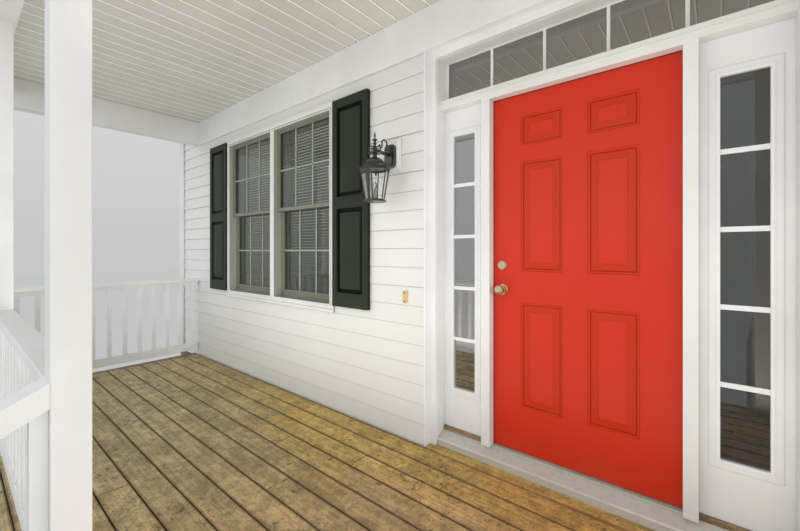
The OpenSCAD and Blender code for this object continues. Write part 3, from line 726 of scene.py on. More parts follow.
@dataclass(frozen=True)
class Glass(Finish):
    """Dark window glass with a clean, slightly wavy face."""

    tint: Colour = (0.032, 0.037, 0.032)
    film: Colour = (0.30, 0.31, 0.29)
    rough: float = 0.01
    mirror: float = 2.6
    wave: float = 0.0003

    def fill(self, s: Surface) -> None:
        """Sets the surface up.

        Args:
            s: The surface.
        """
        smear = s.spread(s.noise(s.place, 5.0, 5.0, 0.6), 0.35, 0.75)
        streaks = s.noise(s.vector("MULTIPLY", s.place, (12.0, 1.0, 3.0)), 2.0, 4.0, 0.6)
        dull = s.math("MULTIPLY", smear, s.spread(streaks, 0.4, 0.8))
        s.wire(s.shader, Base_Color=s.blend(s.math("MULTIPLY", dull, 0.12), self.tint, self.film),
               Roughness=s.spread(dull, 0.0, 1.0, self.rough, self.rough + 0.05),
               Transmission_Weight=1.0, IOR=self.mirror)
        s.raised(s.noise(s.place, 3.2, 1.0, 0.4), self.wave)


@dataclass(frozen=True)
class Metal(Finish):
    """Metal with fine scratches, dull patches and tarnish in places."""

    colour: Colour
    metallic: float = 1.0
    rough: float = 0.3
    worn: Colour = (0.30, 0.27, 0.20)
    worn_amount: float = 0.3
    bump: float = 0.0001

    def fill(self, s: Surface) -> None:
        """Sets the surface up.

        Args:
            s: The surface.
        """
        patches = s.spread(s.noise(s.place, 38.0, 6.0, 0.65), 0.50, 0.72)
        fine = s.noise(s.vector("MULTIPLY", s.place, (1.0, 1.0, 0.15)), 900.0, 2.0, 0.6)
        dull = s.math("MULTIPLY_ADD", patches, 0.22, s.math("MULTIPLY_ADD", fine, 0.10, self.rough - 0.05))
        base = s.blend(s.math("MULTIPLY", patches, self.worn_amount), self.colour, self.worn)
        s.wire(s.shader, Base_Color=base, Roughness=dull, Metallic=self.metallic)
        s.raised(fine, self.bump)


@dataclass(frozen=True)
class Even(Finish):
    """A pale, even, matt surface."""

    colour: Colour
    rough: float = 0.9

    def fill(self, s: Surface) -> None:
        """Sets the surface up.

        Args:
            s: The surface.
        """
        darker = tuple(c * 0.97 for c in self.colour)
        soft = s.noise(s.place, 0.4, 2.0, 0.5)
        s.wire(s.shader, Base_Color=s.blend(soft, self.colour, darker), Roughness=self.rough)


class Palette:
    """Every material of the porch, each made when it is first asked for."""

    white = (0.80, 0.803, 0.797)
    # A brighter, cooler copy of the white: painted light for trim in the shade under the roof
    brightened_white = (0.875, 0.885, 0.90)
    siding = (0.79, 0.793, 0.787)
    finishes: tuple[Finish, ...] = (
        Paint("paint_white_along_x", white),
        Paint("paint_white_along_y", white, grain=Along.Y),
        Paint("paint_white_along_z", white, grain=Along.Z),
        # Brightened copies of the white paint, as painted light for trim in shade
        Paint("paint_sheltered_along_x", brightened_white),
        Paint("paint_sheltered_along_z", brightened_white, grain=Along.Z),
        # The grey-green from 13 to 17 mm deep is painted shade on the window's reveal
        Paint("paint_window_trim", white, grain=Along.Z,
              painted_light=(PaintedLightByDepth("window_frames", Along.Y, 0.013, 0.017, (0.30, 0.32, 0.26)),)),
        # The door's depth colours are painted shade: a deeper red on the mouldings' slopes and a dark red in
        # their grooves
        Paint("paint_door_red", (0.60, 0.028, 0.008), rough=0.31, grain=Along.Z, peel=0.8, bump=0.00003,
              uneven=0.01, dust=(0.45, 0.10, 0.06), dust_level=0.78, dust_reach=0.25, dust_amount=0.25,
              gloss=0.36, painted_light=(PaintedLightByDepth("door_leaf", Along.Y, 0.0024, 0.0030, (0.50, 0.026, 0.0), 0.8),
                                   PaintedLightByDepth("door_leaf", Along.Y, 0.0060, 0.0085, (0.18, 0.004, 0.002), 0.7))),
        # Near black from 6 to 17 mm deep is painted shade in the panels' grooves
        Paint("paint_shutter", (0.023, 0.033, 0.020), rough=0.50, grain=Along.Z, uneven=0.15,
              dust=(0.08, 0.08, 0.06), dust_level=1.5, dust_reach=0.5, dust_amount=0.3, gloss=0.25,
              painted_light=(PaintedLightByDepth("shutters", Along.Y, 0.006, 0.017, (0.0, 0.0, 0.0), 0.95),)),
        Paint("paint_lantern_black", (0.020, 0.022, 0.020), rough=0.30, grain=Along.Z, peel=0.9, uneven=0.2,
              dust=(0.10, 0.10, 0.085), dust_level=2.2, dust_reach=0.8, dust_amount=0.2, gloss=0.9),
        # The ceiling's depth colours are painted light: the beads painted bright as a highlight, the grooves
        # painted darker as shade
        Paint("paint_ceiling", (0.65, 0.65, 0.60), grain=Along.Y, dust_amount=0.0, rough=0.5,
              painted_light=(PaintedLightByDepth("porch_ceiling", Along.Z, -0.0003, -0.0010, (0.97, 0.98, 0.95), 1.0),
                       PaintedLightByDepth("porch_ceiling", Along.Z, 0.0006, 0.0024, (0.30, 0.30, 0.25), 0.55))),
        Paint("vinyl_sash", (0.205, 0.222, 0.172), grain=Along.Z, rough=0.5, dust_level=1.5, dust_amount=0.2),
        Paint("vinyl_grid", (0.36, 0.41, 0.33), grain=Along.Z, rough=0.5, dust_amount=0.0),
        Paint("blind_slat", (0.42, 0.43, 0.37), grain=Along.X, rough=0.5, dust_amount=0.0),
        Paint("rubber_dark", (0.035, 0.022, 0.018), grain=Along.Z, rough=0.7, dust_amount=0.0),
        Paint("candle_sleeve", (0.78, 0.76, 0.68), grain=Along.Z, rough=0.4, dust_amount=0.0),
        DeckTimber("timber_deck", Along.X),
        DeckTimber("timber_strip", Along.X, tan=(0.35, 0.24, 0.13), gold_share=0.0, top=0.70),
        Vinyl("vinyl_siding", siding),
        Vinyl("vinyl_gable", siding, grain=Along.Y, lap_shadow=0.0),
        Brick("brick_face"),
        Gritty("mortar", (0.34, 0.32, 0.29), (0.60, 0.58, 0.53)),
        Gritty("shingle_grit", (0.055, 0.055, 0.058), (0.19, 0.185, 0.18), grain=520.0, depth=0.002),
        Gritty("plaster_inside", (0.66, 0.65, 0.62), (0.74, 0.73, 0.70), grain=60.0, depth=0.0006,
               rough=0.85),
        Glass("glass_window", tint=(0.31, 0.345, 0.285), mirror=1.85),
        Glass("glass_transom", mirror=3.2),
        Glass("glass_side_left", mirror=5.0),
        Glass("glass_side_right", mirror=2.1),
        Glass("glass_lantern", tint=(0.98, 0.985, 0.98), mirror=1.35),
        Metal("brass_satin", (0.86, 0.74, 0.50), rough=0.24, worn_amount=0.2),
        Metal("metal_sill", (0.56, 0.56, 0.54), rough=0.42, worn=(0.34, 0.33, 0.30), worn_amount=0.5),
        Metal("sill_face", (0.56, 0.53, 0.48), metallic=0.0, rough=0.5, worn=(0.40, 0.37, 0.32),
              worn_amount=0.5, bump=0.0004),
        Metal("sill_strip", (0.50, 0.53, 0.45), metallic=0.0, rough=0.45, worn=(0.34, 0.35, 0.30),
              worn_amount=0.4),
        Metal("brass_aged", (0.66, 0.48, 0.21), metallic=0.0, rough=0.5, worn=(0.36, 0.26, 0.12),
              worn_amount=0.8),
        Metal("metal_screw", (0.22, 0.19, 0.15), rough=0.55),
        Even("floor_pale", (0.52, 0.52, 0.51)),
    )
    _made: dict[str, Material] = {}

    @classmethod
    def get(cls, name: str) -> Material:
        """Gives the material with that name.

        Args:
            name: The material's name.

        Returns:
            The material.
        """
        if name not in cls._made:
            finish = next(f for f in cls.finishes if f.name == name)
            cls._made[name] = finish.build()
        return cls._made[name]


class Frame:
    """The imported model: its nodes, their slots and their boxes."""

    def __init__(self) -> None:
        """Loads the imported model."""
        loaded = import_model()
        self.nodes: dict[str, Object] = loaded["nodes"]
        self.slots = {part["node"]: part["material_slot"] for part in loaded["record"]["subparts"]}
        self.count = 0

    def paint_node(self, node: str, finish: str) -> None:
        """Gives a carried-over node another material, and leaves its mesh alone.

        Args:
            node: The node's name.
            finish: The name of the material.
        """
        mesh = self.nodes[node].data
        mesh.materials.clear()
        mesh.materials.append(Palette.get(finish))

    def keep(self, piece: Object, slot_of: str, *nodes: str, body: str = PORCH) -> None:
        """Makes a finished piece part of the porch.

        Args:
            piece: The piece, in place.
            slot_of: Not used.
            *nodes: The nodes that the piece stands for.
            body: The body that it moves with.
        """
        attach(piece, body)
        if nodes:
            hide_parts(*nodes)
        triangles = sum(len(p.vertices) - 2 for p in piece.data.polygons)
        self.count += triangles
        LOG.info("%s: %d triangles on %s", piece.name, triangles, body)

    def dress(self, node: str, name: str, finish: str, bevel: float, smooth: float = SMOOTH,
              body: str = PORCH) -> None:
        """Replaces a node by a copy of its shape, with its edges rounded over and a finish.

        Args:
            node: The node's name.
            name: The piece's name.
            finish: The name of its material.
            bevel: How far the rounding takes off each edge.
            smooth: Edges sharper than this many degrees stay sharp.
            body: The body that the piece moves with.
        """
        shape = Shape()
        shape.node(self.nodes[node], bevel)
        self.keep(shape.finish(name, finish, smooth), node, node, body=body)


class Shape:
    """A mesh under construction, from boxes, outlines and copies of nodes."""

    def __init__(self) -> None:
        """Starts an empty mesh."""
        self.mesh = bmesh.new()

    def box(self, low: Sequence[float], high: Sequence[float], bevel: float = 0.0) -> None:
        """Adds a box between two corners, with its edges rounded over a little.

        Args:
            low: The lowest corner.
            high: The highest corner.
            bevel: How far the rounding takes off each edge.
        """
        size = Vector(high) - Vector(low)
        place = Matrix.Translation((Vector(high) + Vector(low)) / 2) @ Matrix.Diagonal((*size, 1.0))
        made = bmesh.ops.create_cube(self.mesh, size=1.0, matrix=place)["verts"]
        if bevel > 0.0:
            edges = {e for v in made for e in v.link_edges}
            self._round(edges, min(bevel, min(size) * 0.3))

    def prism(self, outline: Sequence[tuple[float, float]], low: float, high: float,
              along: Along = Along.X, bevel: float = 0.0) -> None:
        """Adds an outline drawn out along an axis.

        Args:
            outline: Its points: Y and Z for a prism along X, X and Z along Y, X and Y along Z.
            low: Where it starts on the axis.
            high: Where it ends.
            along: The axis.
            bevel: How far the rounding takes off each edge.
        """
        def at(a: float, b: float, c: float) -> Point:
            """Puts two numbers across the axis and one along it in their order."""
            return {Along.X: (c, a, b), Along.Y: (a, c, b), Along.Z: (a, b, c)}[along]

        lower = [self.mesh.verts.new(at(a, b, low)) for a, b in outline]
        upper = [self.mesh.verts.new(at(a, b, high)) for a, b in outline]
        faces = [self.mesh.faces.new(lower), self.mesh.faces.new(list(reversed(upper)))]
        for i in range(len(outline)):
            j = (i + 1) % len(outline)
            faces.append(self.mesh.faces.new((lower[j], lower[i], upper[i], upper[j])))
        bmesh.ops.recalc_face_normals(self.mesh, faces=faces)
        if bevel > 0.0:
            self._round({e for f in faces for e in f.edges}, bevel)

    def cone(self, place: Matrix, low_r: float, high_r: float, depth: float, segments: int) -> None:
        """Adds a closed cone or cylinder.

        Args:
            place: Where its middle goes, and how it is turned.
            low_r: The radius of its foot.
            high_r: The radius of its top.
            depth: Its length.
            segments: The number of its sides.
        """
        bmesh.ops.create_cone(self.mesh, cap_ends=True, segments=segments, radius1=low_r, radius2=high_r,
                              depth=depth, matrix=place)

    def node(self, source: Object, bevel: float) -> None:
        """Adds a copy of a node's mesh, merged, with its sharp edges rounded over.

        Args:
            source: The node's object.
            bevel: How far the rounding takes off each edge.
        """
        self.mesh.from_mesh(source.data)
        bmesh.ops.remove_doubles(self.mesh, verts=self.mesh.verts, dist=MERGE)
        bmesh.ops.dissolve_limit(self.mesh, angle_limit=FLAT, verts=self.mesh.verts,
                                 edges=self.mesh.edges)
        if bevel > 0.0:
            sharp = {e for e in self.mesh.edges if len(e.link_faces) == 2 and e.calc_face_angle() > CORNER}
            self._round(sharp, bevel)

    def _round(self, edges: set[bmesh.types.BMEdge], width: float) -> None:
        """Rounds edges over with two faces each."""
        bmesh.ops.bevel(self.mesh, geom=list(edges), offset=width, offset_type="OFFSET", segments=2,
                        profile=0.5, affect="EDGES", clamp_overlap=True)

    def cut(self, point: Point, normal: Point) -> None:
        """Cuts away what lies past a plane, on the side that its normal points to, and closes it.

        Args:
            point: A point of the plane.
            normal: The plane's normal.
        """
        geometry = self.mesh.verts[:] + self.mesh.edges[:] + self.mesh.faces[:]
        made = bmesh.ops.bisect_plane(self.mesh, geom=geometry, dist=1e-6, plane_co=point,
                                      plane_no=normal, clear_outer=True)
        rim = [e for e in made["geom_cut"] if isinstance(e, bmesh.types.BMEdge)]
        bmesh.ops.holes_fill(self.mesh, edges=rim, sides=0)

    def moved(self, matrix: Matrix) -> None:
        """Moves the whole mesh."""
        self.mesh.transform(matrix)

    def add(self, other: Mesh, place: Matrix = Matrix()) -> None:
        """Adds another mesh, moved into place."""
        other.transform(place)
        self.mesh.from_mesh(other)

    def finish(self, name: str, finish: str, smooth: float = SMOOTH) -> Object:
        """Turns the mesh into an object.

        Args:
            name: The piece's name.
            finish: The name of its material.
            smooth: Edges sharper than this many degrees stay sharp.

        Returns:
            The piece, at the origin.
        """
        data = bpy.data.meshes.new(name)
        self.mesh.to_mesh(data)
        self.mesh.free()
        data.materials.clear()
        data.materials.append(Palette.get(finish))
        data.polygons.foreach_set("use_smooth", [True] * len(data.polygons))
        data.set_sharp_from_angle(angle=math.radians(smooth))
        piece = bpy.data.objects.new(name, data)
        bpy.context.scene.collection.objects.link(piece)
        return piece


class Repeats:
    """The Geometry Nodes trees, each built once, that lay out what repeats."""

    _made: dict[str, Tree] = {}

    @classmethod
    def tree(cls, name: str) -> Tree:
        """Gives the tree with that name.

        Args:
            name: The tree's name.

        Returns:
            The tree.
        """
        if name not in cls._made:
            cls._made[name] = {"courses": cls._courses, "rows": cls._rows}[name]()
        return cls._made[name]

    @staticmethod
    def _finish(g: Graph, end: Node, instances: Socket, seed: object,
                material: object) -> None:
        """Gives each copy a random tint, realizes the copies and sets their material.

        Args:
            g: The tree's graph.
            end: Its output node.
            instances: The copies.
            seed: The seed of the tints.
            material: The material.
        """
        index = g.node("GeometryNodeInputIndex").outputs[0]
        stored = g.node("GeometryNodeStoreNamedAttribute", data_type="FLOAT", domain="INSTANCE")
        g.wire(stored, Geometry=instances, Name="tint", Value=g.random("FLOAT", 0.0, 1.0, index, seed))
        real = g.wire(g.node("GeometryNodeRealizeInstances"), Geometry=stored.outputs[0])
        dressed = g.wire(g.node("GeometryNodeSetMaterial"), Geometry=real.outputs[0], Material=material)
        g.feed(end.inputs["Geometry"], dressed.outputs[0])

    @staticmethod
    def _cell(g: Graph, index: object, columns: object) -> tuple[Socket, Socket]:
        """Turns a copy's number into its line and its place on the line."""
        line = g.math("FLOOR", g.math("DIVIDE", g.math("ADD", index, 0.5), columns))
        return line, g.math("SUBTRACT", index, g.math("MULTIPLY", line, columns))

    @classmethod
    def _rows(cls) -> Tree:
        """Copies in a grid: Count along Step, and Lines of them along Line Step.

        Returns:
            The tree.
        """
        g, start, end = new_group(
            "rows", "GeometryNodeTree",
            {"Geometry": ("NodeSocketGeometry", None), "Count": (INT, 1), "Step": (VECTOR, (1.0, 0.0, 0.0)),
             "Lines": (INT, 1), "Line Step": (VECTOR, (0.0, 1.0, 0.0)), "Jitter": (VECTOR, (0.0, 0.0, 0.0)),
             "Seed": (INT, 1), "Material": ("NodeSocketMaterial", None)},
            {"Geometry": "NodeSocketGeometry"})
        take = start.outputs
        index = g.node("GeometryNodeInputIndex").outputs[0]
        line, place = cls._cell(g, index, take["Count"])
        shake = g.random("FLOAT_VECTOR", (-1.0, -1.0, -1.0), (1.0, 1.0, 1.0), index,
                         g.math("ADD", take["Seed"], 5.0))
        at = g.vector("ADD", g.scaled(take["Step"], place), g.scaled(take["Line Step"], line))
        at = g.vector("ADD", at, g.vector("MULTIPLY", shake, take["Jitter"]))
        points = g.node("GeometryNodePoints")
        g.wire(points, Count=g.math("MULTIPLY", take["Count"], take["Lines"]), Position=at)
        copies = g.node("GeometryNodeInstanceOnPoints")
        g.wire(copies, Points=points.outputs[0], Instance=take["Geometry"])
        cls._finish(g, end, copies.outputs[0], take["Seed"], take["Material"])
        return g.tree

    @classmethod
    def _courses(cls) -> Tree:
        """Courses of bricks or boards along X, staggered, and cut to length at both ends.

        Returns:
            The tree.
        """
        g, start, end = new_group(
            "courses", "GeometryNodeTree",
            {"Geometry": ("NodeSocketGeometry", None), "Rows": (INT, 1), "Columns": (INT, 1),
             "Pitch": (FLOAT, 0.2), "Joint": (FLOAT, 0.01), "Length": (FLOAT, 1.0),
             "Row Step": (VECTOR, (0.0, 0.0, 0.1)), "Stagger": (FLOAT, 0.5), "Shuffle": (FLOAT, 0.0),
             "Lift": (VECTOR, (0.0, 0.0, 0.0)), "Seed": (INT, 1),
             "Material": ("NodeSocketMaterial", None)},
            {"Geometry": "NodeSocketGeometry"})
        take = start.outputs
        index = g.node("GeometryNodeInputIndex").outputs[0]
        row, column = cls._cell(g, index, take["Columns"])
        wander = g.random("FLOAT", 0.0, 1.0, row, g.math("ADD", take["Seed"], 3.0))
        random_part = g.math("MULTIPLY", wander, take["Shuffle"])
        shift = g.math("FRACT", g.math("ADD", g.math("MULTIPLY", row, take["Stagger"]), random_part))
        left = g.math("MULTIPLY", g.math("ADD", g.math("SUBTRACT", column, 1.0), shift), take["Pitch"])
        size = g.math("SUBTRACT", take["Pitch"], take["Joint"])
        first = g.math("MAXIMUM", left, 0.0)
        last = g.math("MINIMUM", g.math("ADD", left, size), take["Length"])
        width = g.math("SUBTRACT", last, first)
        lift = g.random("FLOAT", -1.0, 1.0, index, g.math("ADD", take["Seed"], 7.0))
        raised = g.scaled(take["Lift"], lift)
        at = g.vector("ADD", g.joined(first), g.scaled(take["Row Step"], row))
        points = g.node("GeometryNodePoints")
        g.wire(points, Count=g.math("MULTIPLY", take["Rows"], take["Columns"]),
               Position=g.vector("ADD", at, raised))
        wide = g.node("FunctionNodeCompare", data_type="FLOAT", operation="GREATER_THAN")
        g.wire(wide, A=width, B=g.math("MULTIPLY", size, 0.06))
        copies = g.node("GeometryNodeInstanceOnPoints")
        g.wire(copies, Points=points.outputs[0], Selection=wide.outputs[0], Instance=take["Geometry"],
               Scale=g.joined(g.math("DIVIDE", width, size), 1.0, 1.0))
        cls._finish(g, end, copies.outputs[0], take["Seed"], take["Material"])
        return g.tree

    @classmethod
    def lay(cls, shape: Shape, tree: str, finish: str, **values: object) -> Mesh:
        """Lays out copies of a shape and returns the result as one plain mesh.

        Args:
            shape: The shape that is repeated. It is used up.
            tree: The name of the tree.
            finish: The name of the material.
            **values: The tree's inputs by name, with _ for a space.

        Returns:
            The mesh of all copies.
        """
        group = cls.tree(tree)
        unit = shape.finish("unit", finish)
        modifier = unit.modifiers.new("lay", "NODES")
        modifier.node_group = group
        sockets = {s.name: s.identifier for s in group.interface.items_tree
                   if s.item_type == "SOCKET" and s.in_out == "INPUT"}
        for name, value in values.items():
            modifier[sockets[name.replace("_", " ")]] = value
        modifier[sockets["Material"]] = Palette.get(finish)
        graph = bpy.context.evaluated_depsgraph_get()
        data = bpy.data.meshes.new_from_object(unit.evaluated_get(graph))
        unit.modifiers.remove(modifier)
        bpy.data.objects.remove(unit)
        return data


@dataclass
class Deck:
    """The deck: its boards with butt joints and screws, and the painted rim under them."""

    frame: Frame
    pitch: float = 0.1432
    joint_y: float = -1.3021
    gap: float = 0.005
    board_length: float = 3.66
    edge: float = 0.0035
    notch_clear: float = 0.002
    screw_r: float = 0.0045
    screw_h: float = 0.0016
    screw_at: tuple[float, float] = (0.18, 0.82)
    screw_shake: Point = (0.006, 0.004, 0.0)
    joist_pitch: float = 0.406
    stagger: float = 0.37
    shuffle: float = 0.6
    lift: float = 0.0006

    def build(self) -> None:
        """Builds the deck's pieces."""
        low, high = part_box("deck_floor")
        first = self.joint_y + self.gap / 2
        first -= math.ceil((first - low.y) / self.pitch) * self.pitch
        rows = int((-self.pitch / 2 - first) / self.pitch)
        unit = Shape()
        unit.box((0.0, 0.0, 0.0), (self.board_length - self.gap / 2, self.pitch - self.gap, high.z - low.z),
                 self.edge)
        boards = Repeats.lay(
            unit, "courses", "timber_deck", Rows=rows, Columns=int((high.x - low.x) / self.board_length) + 2,
            Pitch=self.board_length, Joint=self.gap / 2, Length=high.x - low.x,
            Row_Step=(0.0, self.pitch, 0.0), Stagger=self.stagger, Shuffle=self.shuffle,
            Lift=(0.0, 0.0, self.lift), Seed=11)
        laid = Shape()
        laid.add(boards, moved_by(low.x, first, low.z))
        laid.cut((0.0, low.y, 0.0), (0.0, -1.0, 0.0))
        self.frame.keep(laid.finish("deck_boards", "timber_deck"), "deck_floor", "deck_floor")
        self._notched_board(low, high, first + rows * self.pitch)
        self._screws(low, high, first + self.pitch, rows)
        self.frame.dress("deck_frame", "deck_rim_and_joists", "paint_white_along_x", 0.002)

    def _notched_board(self, low: Vector, high: Vector, front: float) -> None:
        """Makes the last board, cut round the corners of the door's opening.

        Args:
            low: The low corner of the deck's boards.
            high: Their high corner.
            front: The Y of its front edge.
        """
        clear = self.notch_clear
        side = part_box("door_casing")[1].x - clear
        outline = [(low.x, front), (high.x, front), (high.x, -clear), (side, -clear), (side, high.y),
                   (-side, high.y), (-side, -clear), (low.x, -clear)]
        board = Shape()
        board.prism(outline, low.z, high.z, Along.Z, self.edge * 0.7)
        self.frame.keep(board.finish("deck_board_at_wall", "timber_deck"), "deck_floor")

    def _screws(self, low: Vector, high: Vector, start: float, lines: int) -> None:
        """Puts two screws in each board over each joist.

        Args:
            low: The low corner of the deck's boards.
            high: Their high corner.
            start: The Y of the first whole board.
            lines: The number of boards.
        """
        unit = Shape()
        for share in self.screw_at:
            unit.cone(moved_by(0.0, (self.pitch - self.gap) * share, 0.0), self.screw_r, self.screw_r * 0.8,
                      self.screw_h, 8)
        count = int((high.x - low.x) / self.joist_pitch)
        data = Repeats.lay(unit, "rows", "metal_screw", Count=count, Step=(self.joist_pitch, 0.0, 0.0),
                           Lines=lines, Line_Step=(0.0, self.pitch, 0.0), Jitter=self.screw_shake, Seed=5)
        heads = Shape()
        heads.add(data, moved_by(-(count - 1) * self.joist_pitch / 2, start, high.z))
        self.frame.keep(heads.finish("deck_screws", "metal_screw"), "deck_floor")


@dataclass
class Brickwork:
    """The house's brick base, the skirt round the deck and the brick steps."""

    frame: Frame
    length: float = 0.194
    height: float = 0.057
    joint: float = 0.0095
    depth: float = 0.03
    proud: float = 0.005
    rowlock_h: float = 0.092
    skirt_t: float = 0.092
    edge: float = 0.003
    uneven: float = 0.0012
    treads: int = 3
    riser_seed: int = 20
    tread_seed: int = 30

    def build(self) -> None:
        """Builds the brickwork's pieces."""
        self._skirt()
        self._base()
        self._steps()

    def _face(self, length: float, height: float, seed: int) -> Mesh:
        """Lays stretcher courses on a face.

        Args:
            length: The face's length.
            height: Its height, counted down from its top.
            seed: The seed of the bricks' tints.

        Returns:
            A mesh with its face on Y 0 looking to negative Y, and its foot on Z 0.
        """
        course = self.height + self.joint
        rows = math.ceil(height / course)
        unit = Shape()
        unit.box((0.0, 0.0, 0.0), (self.length, self.depth, self.height), self.edge)
        data = Repeats.lay(unit, "courses", "brick_face", Rows=rows,
                           Columns=int(length / (self.length + self.joint)) + 2,
                           Pitch=self.length + self.joint, Joint=self.joint, Length=length,
                           Row_Step=(0.0, 0.0, course), Stagger=0.5, Lift=(0.0, self.uneven, 0.0),
                           Seed=seed)
        data.transform(moved_by(0.0, 0.0, height - rows * course + self.joint))
        return data

    def _wrap(self, name: str, node: str, walls: list[tuple[Point, float, float]], top: float,
              core: Shape) -> None:
        """Makes a body of mortar with bricks on its faces.

        Args:
            name: The piece's name, before its ending.
            node: The node that it replaces.
            walls: For each face, its left lower corner, its turn in degrees and its length.
            top: The height of the faces' top.
            core: The mortar behind the bricks.
        """
        bricks = Shape()
        for seed, (corner, turn, length) in enumerate(walls, start=1):
            bricks.add(self._face(length, top - corner[2], seed), moved_by(*corner) @ turned_by(turn, "Z"))
        self._finish(name, node, bricks, core)

    def _finish(self, name: str, node: str, bricks: Shape, core: Shape) -> None:
        """Cuts the bricks off at the ground, and hands them over with their mortar.

        Args:
            name: The pieces' name, before its ending.
            node: The node that they replace.
            bricks: The bricks.
            core: The mortar behind them.
        """
        bricks.cut((0.0, 0.0, 0.0), (0.0, 0.0, -1.0))
        self.frame.keep(bricks.finish(f"{name}_bricks", "brick_face"), node, node)
        self.frame.keep(core.finish(f"{name}_mortar", "mortar"), node)

    def _skirt(self) -> None:
        """Makes the skirt, open behind."""
        low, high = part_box("brick_skirt")
        core = Shape()
        p, wall = self.proud, self.skirt_t
        core.box((low.x + p, low.y + p, 0.0), (high.x - p, low.y + wall, high.z - p))
        for x0, x1 in ((low.x + p, low.x + wall), (high.x - wall, high.x - p)):
            core.box((x0, low.y + wall, 0.0), (x1, high.y, high.z - p))
        walls = [((low.x, low.y, 0.0), 0.0, high.x - low.x), *self._ends(low, high)]
        self._wrap("skirt", "brick_skirt", walls, high.z, core)

    @staticmethod
    def _ends(low: Vector, high: Vector) -> list[tuple[Point, float, float]]:
        """Gives the right and left end faces of a body between two corners."""
        return [((high.x, low.y, 0.0), 90.0, high.y - low.y), ((low.x, high.y, 0.0), -90.0, high.y - low.y)]

    def _base(self) -> None:
        """Makes the base under the wall, with bricks where it isn't behind the skirt."""
        low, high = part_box("house_foundation")
        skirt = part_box("brick_skirt")[1].x
        p = self.proud
        core = Shape()
        core.box((low.x + p, low.y + p, 0.0), (high.x - p, high.y, high.z))
        walls = [((x, low.y, 0.0), 0.0, high.x - skirt) for x in (low.x, skirt)] + self._ends(low, high)
        self._wrap("base", "house_foundation", walls, high.z, core)

    def _steps(self) -> None:
        """Makes the steps, with bricks on edge as treads over a stretcher course."""
        low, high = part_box("front_steps")
        riser = high.z / self.treads
        run = (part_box("deck_floor")[0].y - low.y) / self.treads
        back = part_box("deck_frame")[0].y
        p = self.proud
        core = Shape()
        bricks = Shape()
        for i in range(self.treads):
            front = low.y + i * run
            top = (i + 1) * riser
            core.box((low.x + p, front + p, 0.0), (high.x - p, back, top - p))
            for corner, turn, length in (
                    ((low.x, front, i * riser), 0.0, high.x - low.x),
                    ((high.x, front, i * riser), 90.0, back - front),
                    ((low.x, back, i * riser), -90.0, back - front)):
                bricks.add(self._face(length, riser - self.rowlock_h - self.joint, self.riser_seed + i),
                           moved_by(*corner) @ turned_by(turn, "Z"))
            tread = run if i < self.treads - 1 else back - front
            behind = self.length + self.joint
            for y, depth in ((front, self.length), (front + behind, tread - behind)):
                bricks.add(self._rowlock(high.x - low.x, depth, self.tread_seed + i),
                           moved_by(low.x, y, top - self.rowlock_h))
        self._finish("step", "front_steps", bricks, core)

    def _rowlock(self, length: float, depth: float, seed: int) -> Mesh:
        """Lays one line of bricks on edge across a tread.

        Args:
            length: The line's length.
            depth: The length of a brick.
            seed: The seed of the bricks' tints.

        Returns:
            The mesh of the line.
        """
        unit = Shape()
        unit.box((0.0, 0.0, 0.0), (self.height, depth, self.rowlock_h), self.edge)
        pitch = self.height + self.joint
        return Repeats.lay(unit, "courses", "brick_face", Rows=1, Columns=int(length / pitch) + 2,
                           Pitch=pitch, Joint=self.joint, Length=length, Stagger=0.0,
                           Lift=(0.0, 0.0, self.uneven), Seed=seed)


@dataclass
class PaintedTimber:
    """Posts, rails, beams and flat trim: the nodes' own shapes with rounded edges and paint."""

    frame: Frame
    edge: float = 0.003
    thin_edge: float = 0.002

    def build(self) -> None:
        """Builds each painted piece."""
        thick = {"porch_posts": "white_along_z"}
        for rail, grain in (("front", "x"), ("end", "y"), ("stair", "y")):
            for side in ("left", "right"):
                thick[f"{rail}_rail_{side}"] = f"white_along_{grain}"
        thick |= {"front_beam": "white_along_x", "end_beams": "white_along_y"}
        thin = {"frieze_board": "sheltered_along_x", "corner_boards": "white_along_z",
                "eave_trim": "white_along_x", "lantern_blocks": "white_along_z"}
        for nodes, edge in ((thick, self.edge), (thin, self.thin_edge)):
            for node, paint in nodes.items():
                self.frame.dress(node, f"{node}_painted", f"paint_{paint}", edge)


